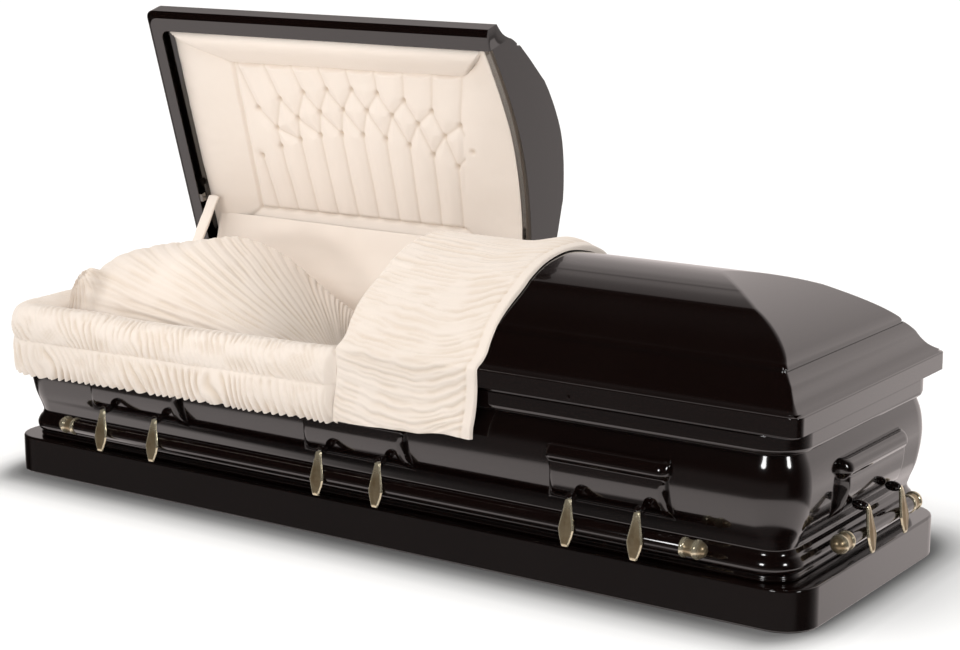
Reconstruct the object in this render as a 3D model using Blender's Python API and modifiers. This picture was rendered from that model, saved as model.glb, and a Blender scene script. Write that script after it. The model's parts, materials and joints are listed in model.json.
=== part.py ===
"""Half-couch metal casket with its head lid open, in metres.

+X runs along the length to the foot end, the front side faces -Y and +Z is up.
The origin is the centre of the underside. The foot lid is closed, the head lid
stands open on its hinges at the back, and a swing bar hangs on each side.
"""
import math

import bmesh
import bpy
from mathutils import Matrix, Vector

# Base moulding
BASE_LENGTH = 2.13
BASE_WIDTH = 0.686
BASE_HEIGHT = 0.087
BASE_CORNER = 0.075
BASE_EDGE = 0.004        # rounding of its top edge
LEDGE_WIDTH = 0.072      # flat ledge from the outer face in under the shell
GAP = 0.0003             # between pieces that touch
SHEET = 0.0012           # 18 gauge steel

# Shell and top moulding: insets are from the fascia's outer face
RIM_HEIGHT = 0.389       # top of the moulding, where the lids rest
MOULDING_HEIGHT = 0.0435
WAIST_INSET = 0.042      # narrowest line of the shell
WAIST_RISE = 0.064       # narrowest line above the ledge
BULGE_INSET = 0.0144     # widest line of the urn curve
SEAM_SET_IN = 0.0162     # dark seam under the moulding, in from the widest line
MOULDING_INSET = 0.0165
RIM_FLANGE = 0.048       # flat gasket flange of the top moulding
RIM_LIP = 0.014          # its turned-down edge
BODY_CORNER = 0.095      # plan corner of the shell, measured at the fascia line

# Lids: heights are from the piece below
FASCIA_END_SETBACK = 0.012   # fascia in from the base at the ends
FASCIA_SIDE_OVERHANG = 0.0115  # and out past it at the sides
FASCIA_LIFT = 0.0095     # fascia's lower edge above the rim
FASCIA_HEIGHT = 0.038
FASCIA_CORNER = 0.022
OGEE_RISE = 0.071        # from the fascia's top to the crown's groove
CROWN_RISE = 0.120       # from the groove to the ridge
GROOVE_INSET_SIDE = 0.0765
GROOVE_INSET_END = 0.0685
HIP_CORNER = 0.006
HIP_RUN = 0.290          # length of the crown's sloping end
HIP_POWER = 1.5
LID_BAND = 0.050         # flat band round the lid's underside
SPLIT_X = -0.006         # where the two lids meet
LID_GAP = 0.004
HEADER_RISE = 0.071      # top of the header's arched opening above the rim
HEADER_FLANGE = 0.023
HINGE_OUT = 0.0092       # hinge line outside the fascia
HINGE_LIFT = 0.001       # and above the rim
OPEN_ANGLE = math.radians(73.75)

# Lug panels
LUG_WIDTH = 0.292
END_LUG_WIDTH = 0.330
LUG_HEIGHT = 0.126
LUG_BELOW_RIM = 0.081
LUG_TAPER = 0.020
LUG_PROUD = 0.023

# Swing handles
BAR_DIAMETER = 0.036
BAR_DROP = 0.051         # bar centre below the pivot
BAR_OUT = 0.012          # bar centre outside the fascia
SIDE_BAR_SETBACK = 0.229  # bar's end in from the fascia's end
END_BAR_SETBACK = 0.2015
TIP_LENGTH = 0.046
TIP_DIAMETER = 0.041
ARM_HEIGHT = 0.101
ARM_WIDTH = 0.031
ARM_TOP_WIDTH = 0.017
ARM_BOTTOM_WIDTH = 0.015
ARM_THICKNESS = 0.008
ARM_TILT = math.radians(8.0)
ARM_DROP = 0.008         # top of an arm above its pivot
PIVOT_RISE = 0.016       # pivot above the lug's foot
PIVOT_OUT = 0.0185       # pivot line outside the fascia
EAR_BARREL = 0.010
EAR_WIDTH = 0.014
PAIR_SPACING = 0.160     # between the two arms of a pair
PAIR_SETBACK = 0.413     # outer pair's middle in from the fascia's end

# Hinges at the back
HINGE_BARREL = 0.012
HINGE_LENGTH = 0.038
HINGE_LEAF = 0.003
HINGE_SHELF_DROP = 0.014
HINGE_FOOT_DROP = 0.030
HINGE_INSET = 0.150      # from each end of a lid

# Cloth: heights are from the rim, or from the bed
LINING_THICKNESS = 0.012
LINING_CLEARANCE = 0.002
CLOTH_GAP = 0.0008       # between a lid's band and its lining
CAP_RISE = 0.083         # upper side of a lid's lining, with the lid closed
CAP_BORDER_RISE = 0.019  # its lowest line
CAP_BORDER = 0.075       # width of its padded border
CAP_PUFF = 0.022
BED_DEPTH = 0.139        # bed's top below the rim
BED_EDGE = 0.030
PILLOW_RISE = 0.312      # highest line above the bed
PILLOW_HEAD_GAP = 0.0258  # from the lining at the head end
PILLOW_SIDE_GAP = 0.0353
PILLOW_HEAD_REACH = 0.280
PILLOW_FOOT_REACH = 0.420
PILLOW_EDGE = 0.035      # thickness where the pillow runs out
PILLOW_HEAD_FALL = 0.20  # share of its height that it loses towards the head end
ROLL_RISE = 0.043
ROLL_DROP = 0.121
ROLL_OUT = 0.036         # outer face of the roll, from the top moulding's face
ROLL_SAG = 0.018         # fall of the roll from the throw to the head end
THROW_OVERHANG = 0.049   # past the foot lid's head edge
THROW_WIDTH = 0.377
THROW_DROP = 0.111
THROW_THICKNESS = 0.009

# Stay of the head lid and the lock's plug
STRAP_WIDTH = 0.034
STRAP_THICKNESS = 0.010
STRAP_LENGTH = 0.190
STRAP_FROM_END = 0.085   # middle of the stay in from the fascia's end
STRAP_FROM_SIDE = 0.1965  # its pin in from the fascia's side, with the lid closed
STRAP_LIFT = 0.011       # and above the rim
STRAP_LEAN = math.radians(-33.0)
STRAP_PIN = 0.006
BRACKET_WIDTH = 0.020
BRACKET_FOOT = 0.024     # length of its plate on the band
BRACKET_SHEET = 0.0016
LOCK_FROM_SPLIT = 0.544
LOCK_RISE = 0.008
LOCK_DIAMETER = 0.013
LOCK_PROUD = 0.003

half_base_length = BASE_LENGTH / 2
half_base_width = BASE_WIDTH / 2
half_lid_length = half_base_length - FASCIA_END_SETBACK
half_lid_width = half_base_width + FASCIA_SIDE_OVERHANG
seam_height = RIM_HEIGHT - MOULDING_HEIGHT
fascia_bottom = RIM_HEIGHT + FASCIA_LIFT
fascia_top = fascia_bottom + FASCIA_HEIGHT
groove_height = fascia_top + OGEE_RISE
crown_height = groove_height + CROWN_RISE
header_top = RIM_HEIGHT + HEADER_RISE
hinge_y = half_lid_width + HINGE_OUT
hinge_z = RIM_HEIGHT + HINGE_LIFT
lug_top = RIM_HEIGHT - LUG_BELOW_RIM
lug_foot = lug_top - LUG_HEIGHT
pivot_height = lug_foot + PIVOT_RISE
pair_pitch = half_lid_length - PAIR_SETBACK
cap_border_z = RIM_HEIGHT + CAP_BORDER_RISE
lining_inset = WAIST_INSET + SHEET + LINING_CLEARANCE
bed_top = RIM_HEIGHT - BED_DEPTH
pillow_centre = PILLOW_HEAD_REACH + PILLOW_HEAD_GAP - (half_lid_length - lining_inset - LINING_THICKNESS)
pillow_half_width = half_lid_width - lining_inset - LINING_THICKNESS - PILLOW_SIDE_GAP
roll_top = RIM_HEIGHT + ROLL_RISE
roll_bottom = RIM_HEIGHT - ROLL_DROP
throw_left = SPLIT_X - THROW_OVERHANG
throw_right = throw_left + THROW_WIDTH
throw_bottom = RIM_HEIGHT - THROW_DROP
strap_x = STRAP_FROM_END - half_lid_length
strap_pivot_y = half_lid_width - STRAP_FROM_SIDE
strap_pivot_z = RIM_HEIGHT + STRAP_LIFT


def clear_scene():
    for obj in list(bpy.data.objects):
        bpy.data.objects.remove(obj, do_unlink=True)


def make_collection(name):
    collection = bpy.data.collections.new(name)
    bpy.context.scene.collection.children.link(collection)
    return collection


def make_material(name, color, roughness, metallic):
    material = bpy.data.materials.new(name)
    material.use_nodes = True
    shader = material.node_tree.nodes["Principled BSDF"]
    shader.inputs["Base Color"].default_value = (*color, 1.0)
    shader.inputs["Roughness"].default_value = roughness
    shader.inputs["Metallic"].default_value = metallic
    return material


clear_scene()
CASKET = make_collection("casket")
CUTTERS = make_collection("cutters")
PAINT = make_material("ebony_gloss_paint", (0.020, 0.010, 0.009), 0.12, 0.0)
BRASS = make_material("antique_brass", (0.42, 0.33, 0.20), 0.35, 1.0)
STEEL = make_material("plated_steel", (0.35, 0.34, 0.33), 0.35, 1.0)
CREPE = make_material("ivory_crepe", (0.86, 0.78, 0.68), 0.9, 0.0)


def add_object(name, mesh, material, collection=CASKET):
    mesh.materials.clear()
    mesh.materials.append(material)
    obj = bpy.data.objects.new(name, mesh)
    collection.objects.link(obj)
    return obj


def smooth(obj, angle=35.0):
    obj.data.shade_smooth()
    obj.data.set_sharp_from_angle(angle=math.radians(angle))
    return obj


def loft(name, sections, closed_section=True, closed_path=False, cap_start=False, cap_end=False):
    """Skin between sections that hold the same number of points, normals turned outwards."""
    bm = bmesh.new()
    rows = [[bm.verts.new(point) for point in section] for section in sections]
    count = len(rows[0])
    steps = count if closed_section else count - 1
    spans = len(rows) if closed_path else len(rows) - 1
    for i in range(spans):
        a, b = rows[i], rows[(i + 1) % len(rows)]
        for j in range(steps):
            k = (j + 1) % count
            bm.faces.new((a[j], a[k], b[k], b[j]))
    if cap_start:
        bm.faces.new(rows[0])
    if cap_end:
        bm.faces.new(reversed(rows[-1]))
    bmesh.ops.remove_doubles(bm, verts=bm.verts, dist=1e-6)
    bmesh.ops.recalc_face_normals(bm, faces=bm.faces)
    mesh = bpy.data.meshes.new(name)
    bm.to_mesh(mesh)
    bm.free()
    return mesh


def box_mesh(name, low, high):
    bm = bmesh.new()
    bmesh.ops.create_cube(bm, size=1.0)
    size = [h - l for l, h in zip(low, high)]
    middle = [(l + h) / 2 for l, h in zip(low, high)]
    bmesh.ops.scale(bm, vec=size, verts=bm.verts)
    bmesh.ops.translate(bm, vec=middle, verts=bm.verts)
    mesh = bpy.data.meshes.new(name)
    bm.to_mesh(mesh)
    bm.free()
    return mesh


def cylinder_mesh(name, radius, length, sides, axis="X"):
    """Cylinder centred on the origin, along X, or along Y or Z."""
    bm = bmesh.new()
    bmesh.ops.create_cone(bm, cap_ends=True, segments=sides, radius1=radius, radius2=radius, depth=length)
    turn = {"X": Matrix.Rotation(math.pi / 2, 3, "Y"),
            "Y": Matrix.Rotation(math.pi / 2, 3, "X"),
            "Z": Matrix.Identity(3)}[axis]
    bmesh.ops.rotate(bm, matrix=turn, verts=bm.verts)
    mesh = bpy.data.meshes.new(name)
    bm.to_mesh(mesh)
    bm.free()
    return mesh


def cutter(name, mesh):
    obj = add_object(name, mesh, STEEL, CUTTERS)
    obj.hide_render = True
    obj.display_type = "WIRE"
    return obj


def boolean(obj, other, operation):
    modifier = obj.modifiers.new(operation.lower() + "_" + other.name, "BOOLEAN")
    modifier.operation = operation
    modifier.solver = "EXACT"
    modifier.object = other
    return modifier


def rounded_outline(half_length, half_width, radius, arc_steps):
    """Points of a rounded rectangle, anticlockwise from the +X side of the front edge."""
    points = []
    for sx, sy, start in ((1, -1, -90), (1, 1, 0), (-1, 1, 90), (-1, -1, 180)):
        cx, cy = sx * (half_length - radius), sy * (half_width - radius)
        for i in range(arc_steps + 1):
            angle = math.radians(start + 90 * i / arc_steps)
            points.append((cx + radius * math.cos(angle), cy + radius * math.sin(angle)))
    return points


def offset_profile(points, distance):
    """The open profile moved to its left by the distance, with mitred corners."""
    moved = []
    for i, (u, z) in enumerate(points):
        before = points[max(i - 1, 0)]
        after = points[min(i + 1, len(points) - 1)]
        normals = []
        for a, b in ((before, (u, z)), ((u, z), after)):
            du, dz = b[0] - a[0], b[1] - a[1]
            length = math.hypot(du, dz)
            if length > 1e-9:
                normals.append((-dz / length, du / length))
        nu = sum(n[0] for n in normals)
        nz = sum(n[1] for n in normals)
        scale = distance * len(normals) / (nu * nu + nz * nz)
        moved.append((u + nu * scale, z + nz * scale))
    return moved


def ring_body(name, section, material):
    """A closed section of (inset from the fascia, height) points carried round the body."""
    rings = []
    for inset, z in section:
        radius = max(BODY_CORNER - inset, 0.006)
        outline = rounded_outline(half_lid_length - inset, half_lid_width - inset, radius, 3)
        rings.append([(x, y, z) for x, y in outline])
    return smooth(add_object(name, loft(name, rings, closed_path=True), material))


# Base moulding and shell


def build_base():
    """Tray: flat pan, upright faces with rounded top edge and a ledge that runs in under the shell."""
    edge = BASE_EDGE
    outer = [(0.0, SHEET), (0.0, BASE_HEIGHT - edge), (edge * 0.3, BASE_HEIGHT - edge * 0.3),
             (edge, BASE_HEIGHT), (LEDGE_WIDTH, BASE_HEIGHT)]
    inner = offset_profile(outer, -SHEET)
    inner[0] = (SHEET, SHEET)
    section = [(0.0, 0.0)] + outer + inner[::-1]
    rings = []
    for inset, z in section:
        radius = max(BASE_CORNER - inset, 0.006)
        outline = rounded_outline(half_base_length - inset, half_base_width - inset, radius, 3)
        rings.append([(x, y, z) for x, y in outline])
    mesh = loft("base_moulding", rings, cap_start=True, cap_end=True)
    return smooth(add_object("base_moulding", mesh, PAINT))


def shell_profile():
    """Outer face of the shell, bottom to top, as (inset from the fascia, height)."""
    foot = BASE_HEIGHT + GAP
    torus = WAIST_INSET - 0.0155
    lower = [(WAIST_INSET - 0.005, 0.0), (WAIST_INSET - 0.008, 0.11), (WAIST_INSET - 0.0045, 0.266),
             (torus + 0.0015, 0.36), (torus, 0.50), (torus + 0.002, 0.656), (WAIST_INSET, 1.0)]
    urn = [(0.0205, 0.113), (0.0100, 0.278), (0.0028, 0.458), (0.0, 0.613), (0.0022, 0.767), (0.0082, 0.896),
           (SEAM_SET_IN, 1.0)]
    waist = foot + WAIST_RISE
    return ([(inset, foot + WAIST_RISE * share) for inset, share in lower]
            + [(BULGE_INSET + inset, waist + (seam_height - waist) * share) for inset, share in urn])


def shell_inset(z):
    """Inset of the shell's outer face at a height."""
    profile = shell_profile()
    for (u0, z0), (u1, z1) in zip(profile, profile[1:]):
        if z0 <= z <= z1:
            return u0 + (u1 - u0) * (z - z0) / (z1 - z0)
    return profile[0][0] if z < profile[0][1] else profile[-1][0]


def build_shell():
    outer = shell_profile()
    inner = offset_profile(outer, -SHEET)
    inner[0] = (inner[0][0], outer[0][1])
    inner[-1] = (inner[-1][0], outer[-1][1])
    return ring_body("body_shell", outer + inner[::-1], PAINT)


def build_top_moulding():
    """Rounded band over the shell with the flat flange that the lids rest on."""
    foot = seam_height + GAP
    seam = BULGE_INSET + SEAM_SET_IN
    outer = [(seam + 0.004, foot), (seam, foot + 0.0005), (seam - 0.009, foot + 0.006),
             (MOULDING_INSET, foot + 0.013), (MOULDING_INSET, RIM_HEIGHT - 0.0015),
             (MOULDING_INSET + 0.0015, RIM_HEIGHT), (MOULDING_INSET + RIM_FLANGE, RIM_HEIGHT),
             (MOULDING_INSET + RIM_FLANGE, RIM_HEIGHT - RIM_LIP)]
    inner = offset_profile(outer, -SHEET)
    return ring_body("top_moulding", outer + inner[::-1], PAINT)


# Lids


def side_profile():
    """Lid from its band's inner edge out and up to the ridge, as (distance from the centre line, height)."""
    w = half_lid_width
    seam = w - GROOVE_INSET_SIDE
    rise = crown_height - groove_height
    return [(w - LID_BAND, RIM_HEIGHT + GAP), (w - MOULDING_INSET, RIM_HEIGHT + GAP), (w, fascia_bottom),
            (w, fascia_top - 0.002), (w - 0.002, fascia_top),
            (w - 0.0205, fascia_top + 0.0095), (w - 0.031, fascia_top + 0.018),
            (w - 0.039, fascia_top + 0.026), (w - 0.0465, fascia_top + 0.037),
            (w - 0.0535, fascia_top + 0.048), (w - 0.0635, fascia_top + 0.058),
            (seam + 0.002, groove_height - 0.004), (seam - 0.001, groove_height - 0.006),
            (seam - 0.002, groove_height),
            (seam - 0.0075, groove_height + 0.0080),
            (seam * 0.597, groove_height + 0.648 * rise), (seam * 0.547, groove_height + 0.705 * rise),
            (seam * 0.417, groove_height + 0.815 * rise), (seam * 0.331, groove_height + 0.868 * rise),
            (seam * 0.216, groove_height + 0.938 * rise), (seam * 0.101, groove_height + 0.985 * rise),
            (0.0, crown_height)]


def end_distance(y, z):
    """Distance of the lid's end face from the middle at the height z, where the side face is at y."""
    if z <= groove_height - 0.005:
        return half_lid_length - (half_lid_width - y) * GROOVE_INSET_END / GROOVE_INSET_SIDE
    share = min(max((z - groove_height) / (crown_height - groove_height), 0.0), 1.0)
    reach = 1.0 - (1.0 - share ** HIP_POWER) ** (1.0 / HIP_POWER)
    return half_lid_length - GROOVE_INSET_END - HIP_RUN * reach


def arch_height(y):
    """Lower edge of the header plate across the lid."""
    low = fascia_bottom + 0.004
    reach = half_lid_width - LID_BAND
    return low + (header_top - low) * math.cos(min(abs(y) / reach, 1.0) * math.pi / 2)


def arch_points(steps=10):
    """Points of the header's arched edge, from the front foot to the back foot."""
    reach = half_lid_width - LID_BAND
    return [(reach * (2 * i / steps - 1), arch_height(reach * (2 * i / steps - 1))) for i in range(steps + 1)]


def build_lid(name, sign):
    """Sheet-metal lid: dome, ogee, fascia and flat band, with the header plate and its turned edge."""
    split = SPLIT_X + sign * LID_GAP / 2
    bm = bmesh.new()
    rows = []
    for y, z in side_profile():
        far = end_distance(y, z)
        radius = min(HIP_CORNER, y * 0.5) if z > fascia_top + 0.001 else FASCIA_CORNER
        ring = [(split, -y)]
        for side, start in ((-1, -90), (1, 0)):
            for i in range(3):
                angle = math.radians(start + 90 * i / 2)
                ring.append((sign * (far - radius + radius * math.cos(angle)),
                             side * (y - radius) + radius * math.sin(angle)))
        ring.append((split, y))
        rows.append([bm.verts.new((px, py, z)) for px, py in ring])
    for lower, upper in zip(rows, rows[1:]):
        for a, b, c, d in zip(lower, lower[1:], upper[1:], upper):
            bm.faces.new((a, b, c, d))
    arch = [bm.verts.new((split, y, z)) for y, z in arch_points()]
    edge = [bm.verts.new((split + sign * HEADER_FLANGE, y, z)) for y, z in arch_points()]
    front = [row[0] for row in rows]
    back = [row[-1] for row in rows[:-1]]
    bm.faces.new(front + back[::-1] + arch[::-1])
    for a, b, c, d in zip(arch, arch[1:], edge[1:], edge):
        bm.faces.new((a, b, c, d))
    bmesh.ops.remove_doubles(bm, verts=bm.verts, dist=1e-6)
    bmesh.ops.recalc_face_normals(bm, faces=bm.faces)
    highest = max(bm.faces, key=lambda face: face.calc_center_median().z)
    if highest.normal.z < 0:
        bmesh.ops.reverse_faces(bm, faces=bm.faces)
    mesh = bpy.data.meshes.new(name)
    bm.to_mesh(mesh)
    bm.free()
    lid = add_object(name, mesh, PAINT)
    sheet = lid.modifiers.new("sheet", "SOLIDIFY")
    sheet.thickness = SHEET
    sheet.offset = -1.0
    sheet.use_even_offset = True
    return smooth(lid, 25.0)


def hang_on_hinge(obj, angle):
    """Moves the object's origin, and its cutters', to the hinge line and opens it by the angle."""
    shift = Matrix.Translation((0.0, -hinge_y, -hinge_z))
    tools = [modifier.object for modifier in obj.modifiers if modifier.type == "BOOLEAN"]
    for piece in [obj] + tools:
        piece.data.transform(shift)
        piece.location = (0.0, hinge_y, hinge_z)
        piece.rotation_euler = (-angle, 0.0, 0.0)
    return obj


# Lug panels with the ears that carry the arms


def lug_profile():
    """Front face of a lug panel, top to bottom, as (proud of the shell, height)."""
    shares = [(0.109, 0.0), (0.652, 0.079), (1.0, 0.302), (0.870, 0.381), (0.783, 0.762), (0.348, 0.937),
              (0.065, 1.0)]
    return [(LUG_PROUD * proud, lug_top - LUG_HEIGHT * down) for proud, down in shares]


def lug_mesh(name, width, side_line):
    """Lug standing out towards -Y from the shell, whose fascia line is at y = -side_line."""
    half = width / 2
    heights = [lug_foot] + [z for _, z in shell_profile() if lug_foot < z < lug_top] + [lug_top]
    sections = []
    for x, share in ((-half, 0.06), (-half + LUG_TAPER * 0.35, 0.62), (-half + LUG_TAPER, 1.0),
                     (half - LUG_TAPER, 1.0), (half - LUG_TAPER * 0.35, 0.62), (half, 0.06)):
        front, back = [], []
        for proud, z in lug_profile():
            wall = side_line - shell_inset(z)
            front.append((x, -(wall + GAP + 0.0005 + proud * share), z))
        for z in heights:
            back.append((x, -(side_line - shell_inset(z) + GAP), z))
        sections.append(front + back)
    return loft(name, sections, cap_start=True, cap_end=True)


def ear_mesh(name, x, side_line):
    """Post that reaches from the lug's face to the pivot, in one with the pivot's barrel."""
    pivot_y = -(side_line + PIVOT_OUT)
    wall = -(side_line - shell_inset(pivot_height) + GAP + 0.002)
    low = (x - EAR_WIDTH * 0.3, pivot_y, pivot_height - EAR_BARREL * 0.4)
    high = (x + EAR_WIDTH * 0.3, wall, pivot_height + EAR_BARREL * 0.3)
    return box_mesh(name, low, high)


def build_lug(name, centre, turn, width, side_line, spacing):
    """One lug panel at its place on a side, with two ears."""
    place = Matrix.Rotation(turn, 4, "Z") @ Matrix.Translation((centre, 0.0, 0.0))
    lug = add_object(name, lug_mesh(name, width, side_line), PAINT)
    lug.matrix_world = place
    for index, x in enumerate((-spacing / 2, spacing / 2)):
        post = cutter(f"{name}_post_{index}", ear_mesh(f"{name}_post_{index}", x, side_line))
        barrel_mesh = cylinder_mesh(f"{name}_barrel_{index}", EAR_BARREL / 2, EAR_WIDTH, 8)
        barrel_mesh.transform(Matrix.Translation((x, -(side_line + PIVOT_OUT), pivot_height)))
        barrel = cutter(f"{name}_barrel_{index}", barrel_mesh)
        for tool in (post, barrel):
            tool.matrix_world = place
            boolean(lug, tool, "UNION")
    return lug


# Swing handles: arms, bar and tips hang from a pivot line


def arm_mesh(name):
    """Drop-shaped arm hanging from the pivot at the origin, its face towards -Y, tilted outwards."""
    bm = bmesh.new()
    top, bottom = ARM_DROP, ARM_DROP - ARM_HEIGHT
    widest = top - ARM_HEIGHT * 0.62
    outline = [(-ARM_TOP_WIDTH / 2, top - 0.006), (-ARM_TOP_WIDTH / 4, top), (ARM_TOP_WIDTH / 4, top),
               (ARM_TOP_WIDTH / 2, top - 0.006), (ARM_WIDTH / 2, widest),
               (ARM_BOTTOM_WIDTH / 2, bottom + 0.002),
               (-ARM_BOTTOM_WIDTH / 2, bottom + 0.002), (-ARM_WIDTH / 2, widest)]
    back_y = -EAR_BARREL * 0.35
    front_y = back_y - ARM_THICKNESS
    face_share = 0.55
    back = [bm.verts.new((x, back_y, z)) for x, z in outline]
    rim = [bm.verts.new((x, back_y - ARM_THICKNESS * 0.45, z)) for x, z in outline]
    face = [bm.verts.new((x * face_share, front_y, (z - widest) * 0.90 + widest)) for x, z in outline]
    count = len(outline)
    for a, b in ((back, rim), (rim, face)):
        for i in range(count):
            j = (i + 1) % count
            bm.faces.new((a[i], a[j], b[j], b[i]))
    bm.faces.new(back)
    bm.faces.new(face)
    bmesh.ops.rotate(bm, matrix=Matrix.Rotation(-ARM_TILT, 3, "X"), verts=bm.verts)
    bmesh.ops.recalc_face_normals(bm, faces=bm.faces)
    mesh = bpy.data.meshes.new(name)
    bm.to_mesh(mesh)
    bm.free()
    return mesh


def tip_mesh(name):
    """Turned brass cap along +X from the bar's end: collar, waist, ring and pointed end."""
    r = TIP_DIAMETER / 2
    profile = [(TIP_LENGTH, 0.0), (TIP_LENGTH - 0.005, r * 0.72), (TIP_LENGTH - 0.016, r * 0.97),
               (TIP_LENGTH - 0.021, r * 0.86), (0.009, r * 0.84), (0.006, r), (0.0, r), (0.0, 0.0)]
    angles = [2 * math.pi * i / 8 for i in range(8)]
    sections = []
    for x, radius in profile:
        sections.append([(x, radius * math.cos(angle), radius * math.sin(angle)) for angle in angles])
    return loft(name, sections)


def build_handle(name, turn, side_line, bar_length, arm_centres):
    """A swing bar on one side: its arms, the bar and a tip at each end, all hung from the pivot line."""
    pivot = bpy.data.objects.new(name + "_pivot", None)
    CASKET.objects.link(pivot)
    pivot.location = Matrix.Rotation(turn, 3, "Z") @ Vector((0.0, -(side_line + PIVOT_OUT), pivot_height))
    pivot.rotation_euler = (0.0, 0.0, turn)
    bar_y = PIVOT_OUT - BAR_OUT
    bar_z = -BAR_DROP

    reach = bar_length + 4 * TIP_LENGTH
    groove_mesh = cylinder_mesh(name + "_groove", BAR_DIAMETER / 2 + GAP, reach, 16)
    groove_mesh.transform(Matrix.Translation((0.0, bar_y, bar_z)))
    groove = cutter(name + "_groove", groove_mesh)
    seat = cutter(name + "_seat", cylinder_mesh(name + "_seat", EAR_BARREL / 2 + 2 * GAP, reach, 8))
    for tool in (groove, seat):
        tool.parent = pivot

    shared = arm_mesh(name + "_arm")
    for index, x in enumerate(arm_centres):
        arm = add_object(f"{name}_arm_{index + 1}", shared, BRASS)
        arm.parent = pivot
        arm.location = (x, 0.0, 0.0)
        boolean(arm, groove, "DIFFERENCE")
        boolean(arm, seat, "DIFFERENCE")

    bar = add_object(name + "_bar", cylinder_mesh(name + "_bar", BAR_DIAMETER / 2, bar_length, 16), PAINT)
    bar.parent = pivot
    bar.location = (0.0, bar_y, bar_z)
    smooth(bar)

    tip = tip_mesh(name + "_tip")
    for label, flip in (("left", math.pi), ("right", 0.0)):
        end = add_object(f"{name}_tip_{label}", tip, BRASS)
        end.parent = pivot
        reach = bar_length / 2 + GAP
        end.location = (-reach if flip else reach, bar_y, bar_z)
        end.rotation_euler = (0.0, 0.0, flip)
        smooth(end, 30.0)


# Hinges at the back


def build_hinge(name, x, open_angle):
    """A pair of leaves: one bracket on the top moulding, one plate on the lid's back fascia."""
    radius = HINGE_BARREL / 2
    moulding_face = half_lid_width - MOULDING_INSET
    low = (x - HINGE_LENGTH, moulding_face + GAP, hinge_z - HINGE_SHELF_DROP)
    high = (x - GAP, hinge_y, hinge_z - HINGE_SHELF_DROP + HINGE_LEAF)
    fixed = add_object(name + "_body_leaf", box_mesh(name + "_body_leaf", low, high), STEEL)
    cheek_low = (x - HINGE_LENGTH, hinge_y - HINGE_LEAF / 2, hinge_z - HINGE_SHELF_DROP)
    cheek_high = (x - GAP, hinge_y + HINGE_LEAF / 2, hinge_z)
    boolean(fixed, cutter(name + "_cheek", box_mesh(name + "_cheek", cheek_low, cheek_high)), "UNION")
    foot_low = (x - HINGE_LENGTH, moulding_face + GAP, hinge_z - HINGE_FOOT_DROP)
    foot_high = (x - GAP, moulding_face + GAP + HINGE_LEAF, hinge_z - HINGE_SHELF_DROP + 0.002)
    boolean(fixed, cutter(name + "_foot", box_mesh(name + "_foot", foot_low, foot_high)), "UNION")
    knuckle_mesh = cylinder_mesh(name + "_body_knuckle", radius, HINGE_LENGTH - GAP, 10)
    knuckle_mesh.transform(Matrix.Translation((x - (HINGE_LENGTH + GAP) / 2, hinge_y, hinge_z)))
    boolean(fixed, cutter(name + "_body_knuckle", knuckle_mesh), "UNION")

    low = (x + GAP, half_lid_width + GAP, hinge_z + 0.002)
    high = (x + HINGE_LENGTH, half_lid_width + GAP + HINGE_LEAF, fascia_top - 0.004)
    moving = add_object(name + "_lid_leaf", box_mesh(name + "_lid_leaf", low, high), STEEL)
    tab_low = (x + GAP, half_lid_width + GAP, hinge_z + 0.001)
    tab_high = (x + HINGE_LENGTH, hinge_y, hinge_z + 0.001 + HINGE_LEAF)
    boolean(moving, cutter(name + "_tab", box_mesh(name + "_tab", tab_low, tab_high)), "UNION")
    knuckle_mesh = cylinder_mesh(name + "_lid_knuckle", radius, HINGE_LENGTH - GAP, 10)
    knuckle_mesh.transform(Matrix.Translation((x + (HINGE_LENGTH + GAP) / 2, hinge_y, hinge_z)))
    boolean(moving, cutter(name + "_lid_knuckle", knuckle_mesh), "UNION")
    hang_on_hinge(moving, open_angle)


# Cloth and bed


def build_body_lining():
    """Lining that stands on the base's ledge inside the shell and runs up to the rim."""
    foot = BASE_HEIGHT + GAP
    section = [(lining_inset, foot), (lining_inset, RIM_HEIGHT - SHEET - LINING_CLEARANCE),
               (lining_inset + LINING_THICKNESS, RIM_HEIGHT - RIM_LIP - 0.006),
               (lining_inset + LINING_THICKNESS, foot)]
    return ring_body("body_lining", section, CREPE)


def build_bed():
    """Bed that fills the bottom of the shell from the pan up, rounded at its top edge."""
    inner = lining_inset + LINING_THICKNESS
    half_length = min(half_lid_length - inner, half_base_length - LEDGE_WIDTH) - LINING_CLEARANCE
    half_width = min(half_lid_width - inner, half_base_width - LEDGE_WIDTH) - LINING_CLEARANCE
    rings = []
    floor = SHEET + GAP
    for extra, z in ((0.0, floor), (0.0, bed_top - BED_EDGE), (BED_EDGE * 0.27, bed_top - BED_EDGE * 0.33),
                     (BED_EDGE, bed_top)):
        outline = rounded_outline(half_length - extra, half_width - extra, BED_EDGE + 0.010, 3)
        rings.append([(x, y, z) for x, y in outline])
    mesh = loft("bed", rings, cap_start=True, cap_end=True)
    return smooth(add_object("bed", mesh, CREPE))


def pillow_height(x, y):
    """Top of the pillow: a full mound at the head that runs out in a long slope to the middle."""
    if x < pillow_centre:
        a = min((pillow_centre - x) / PILLOW_HEAD_REACH, 1.0)
        along = (1.0 - PILLOW_HEAD_FALL * a) * math.sqrt(1.0 - a ** 20)
    else:
        a = min((x - pillow_centre) / PILLOW_FOOT_REACH, 1.0)
        along = (1.0 - a ** 1.8) ** 1.1
    across = math.sqrt(max(0.0, 1.0 - abs(y / pillow_half_width) ** 2.6))
    return bed_top + PILLOW_EDGE + (PILLOW_RISE - PILLOW_EDGE) * along * across


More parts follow.
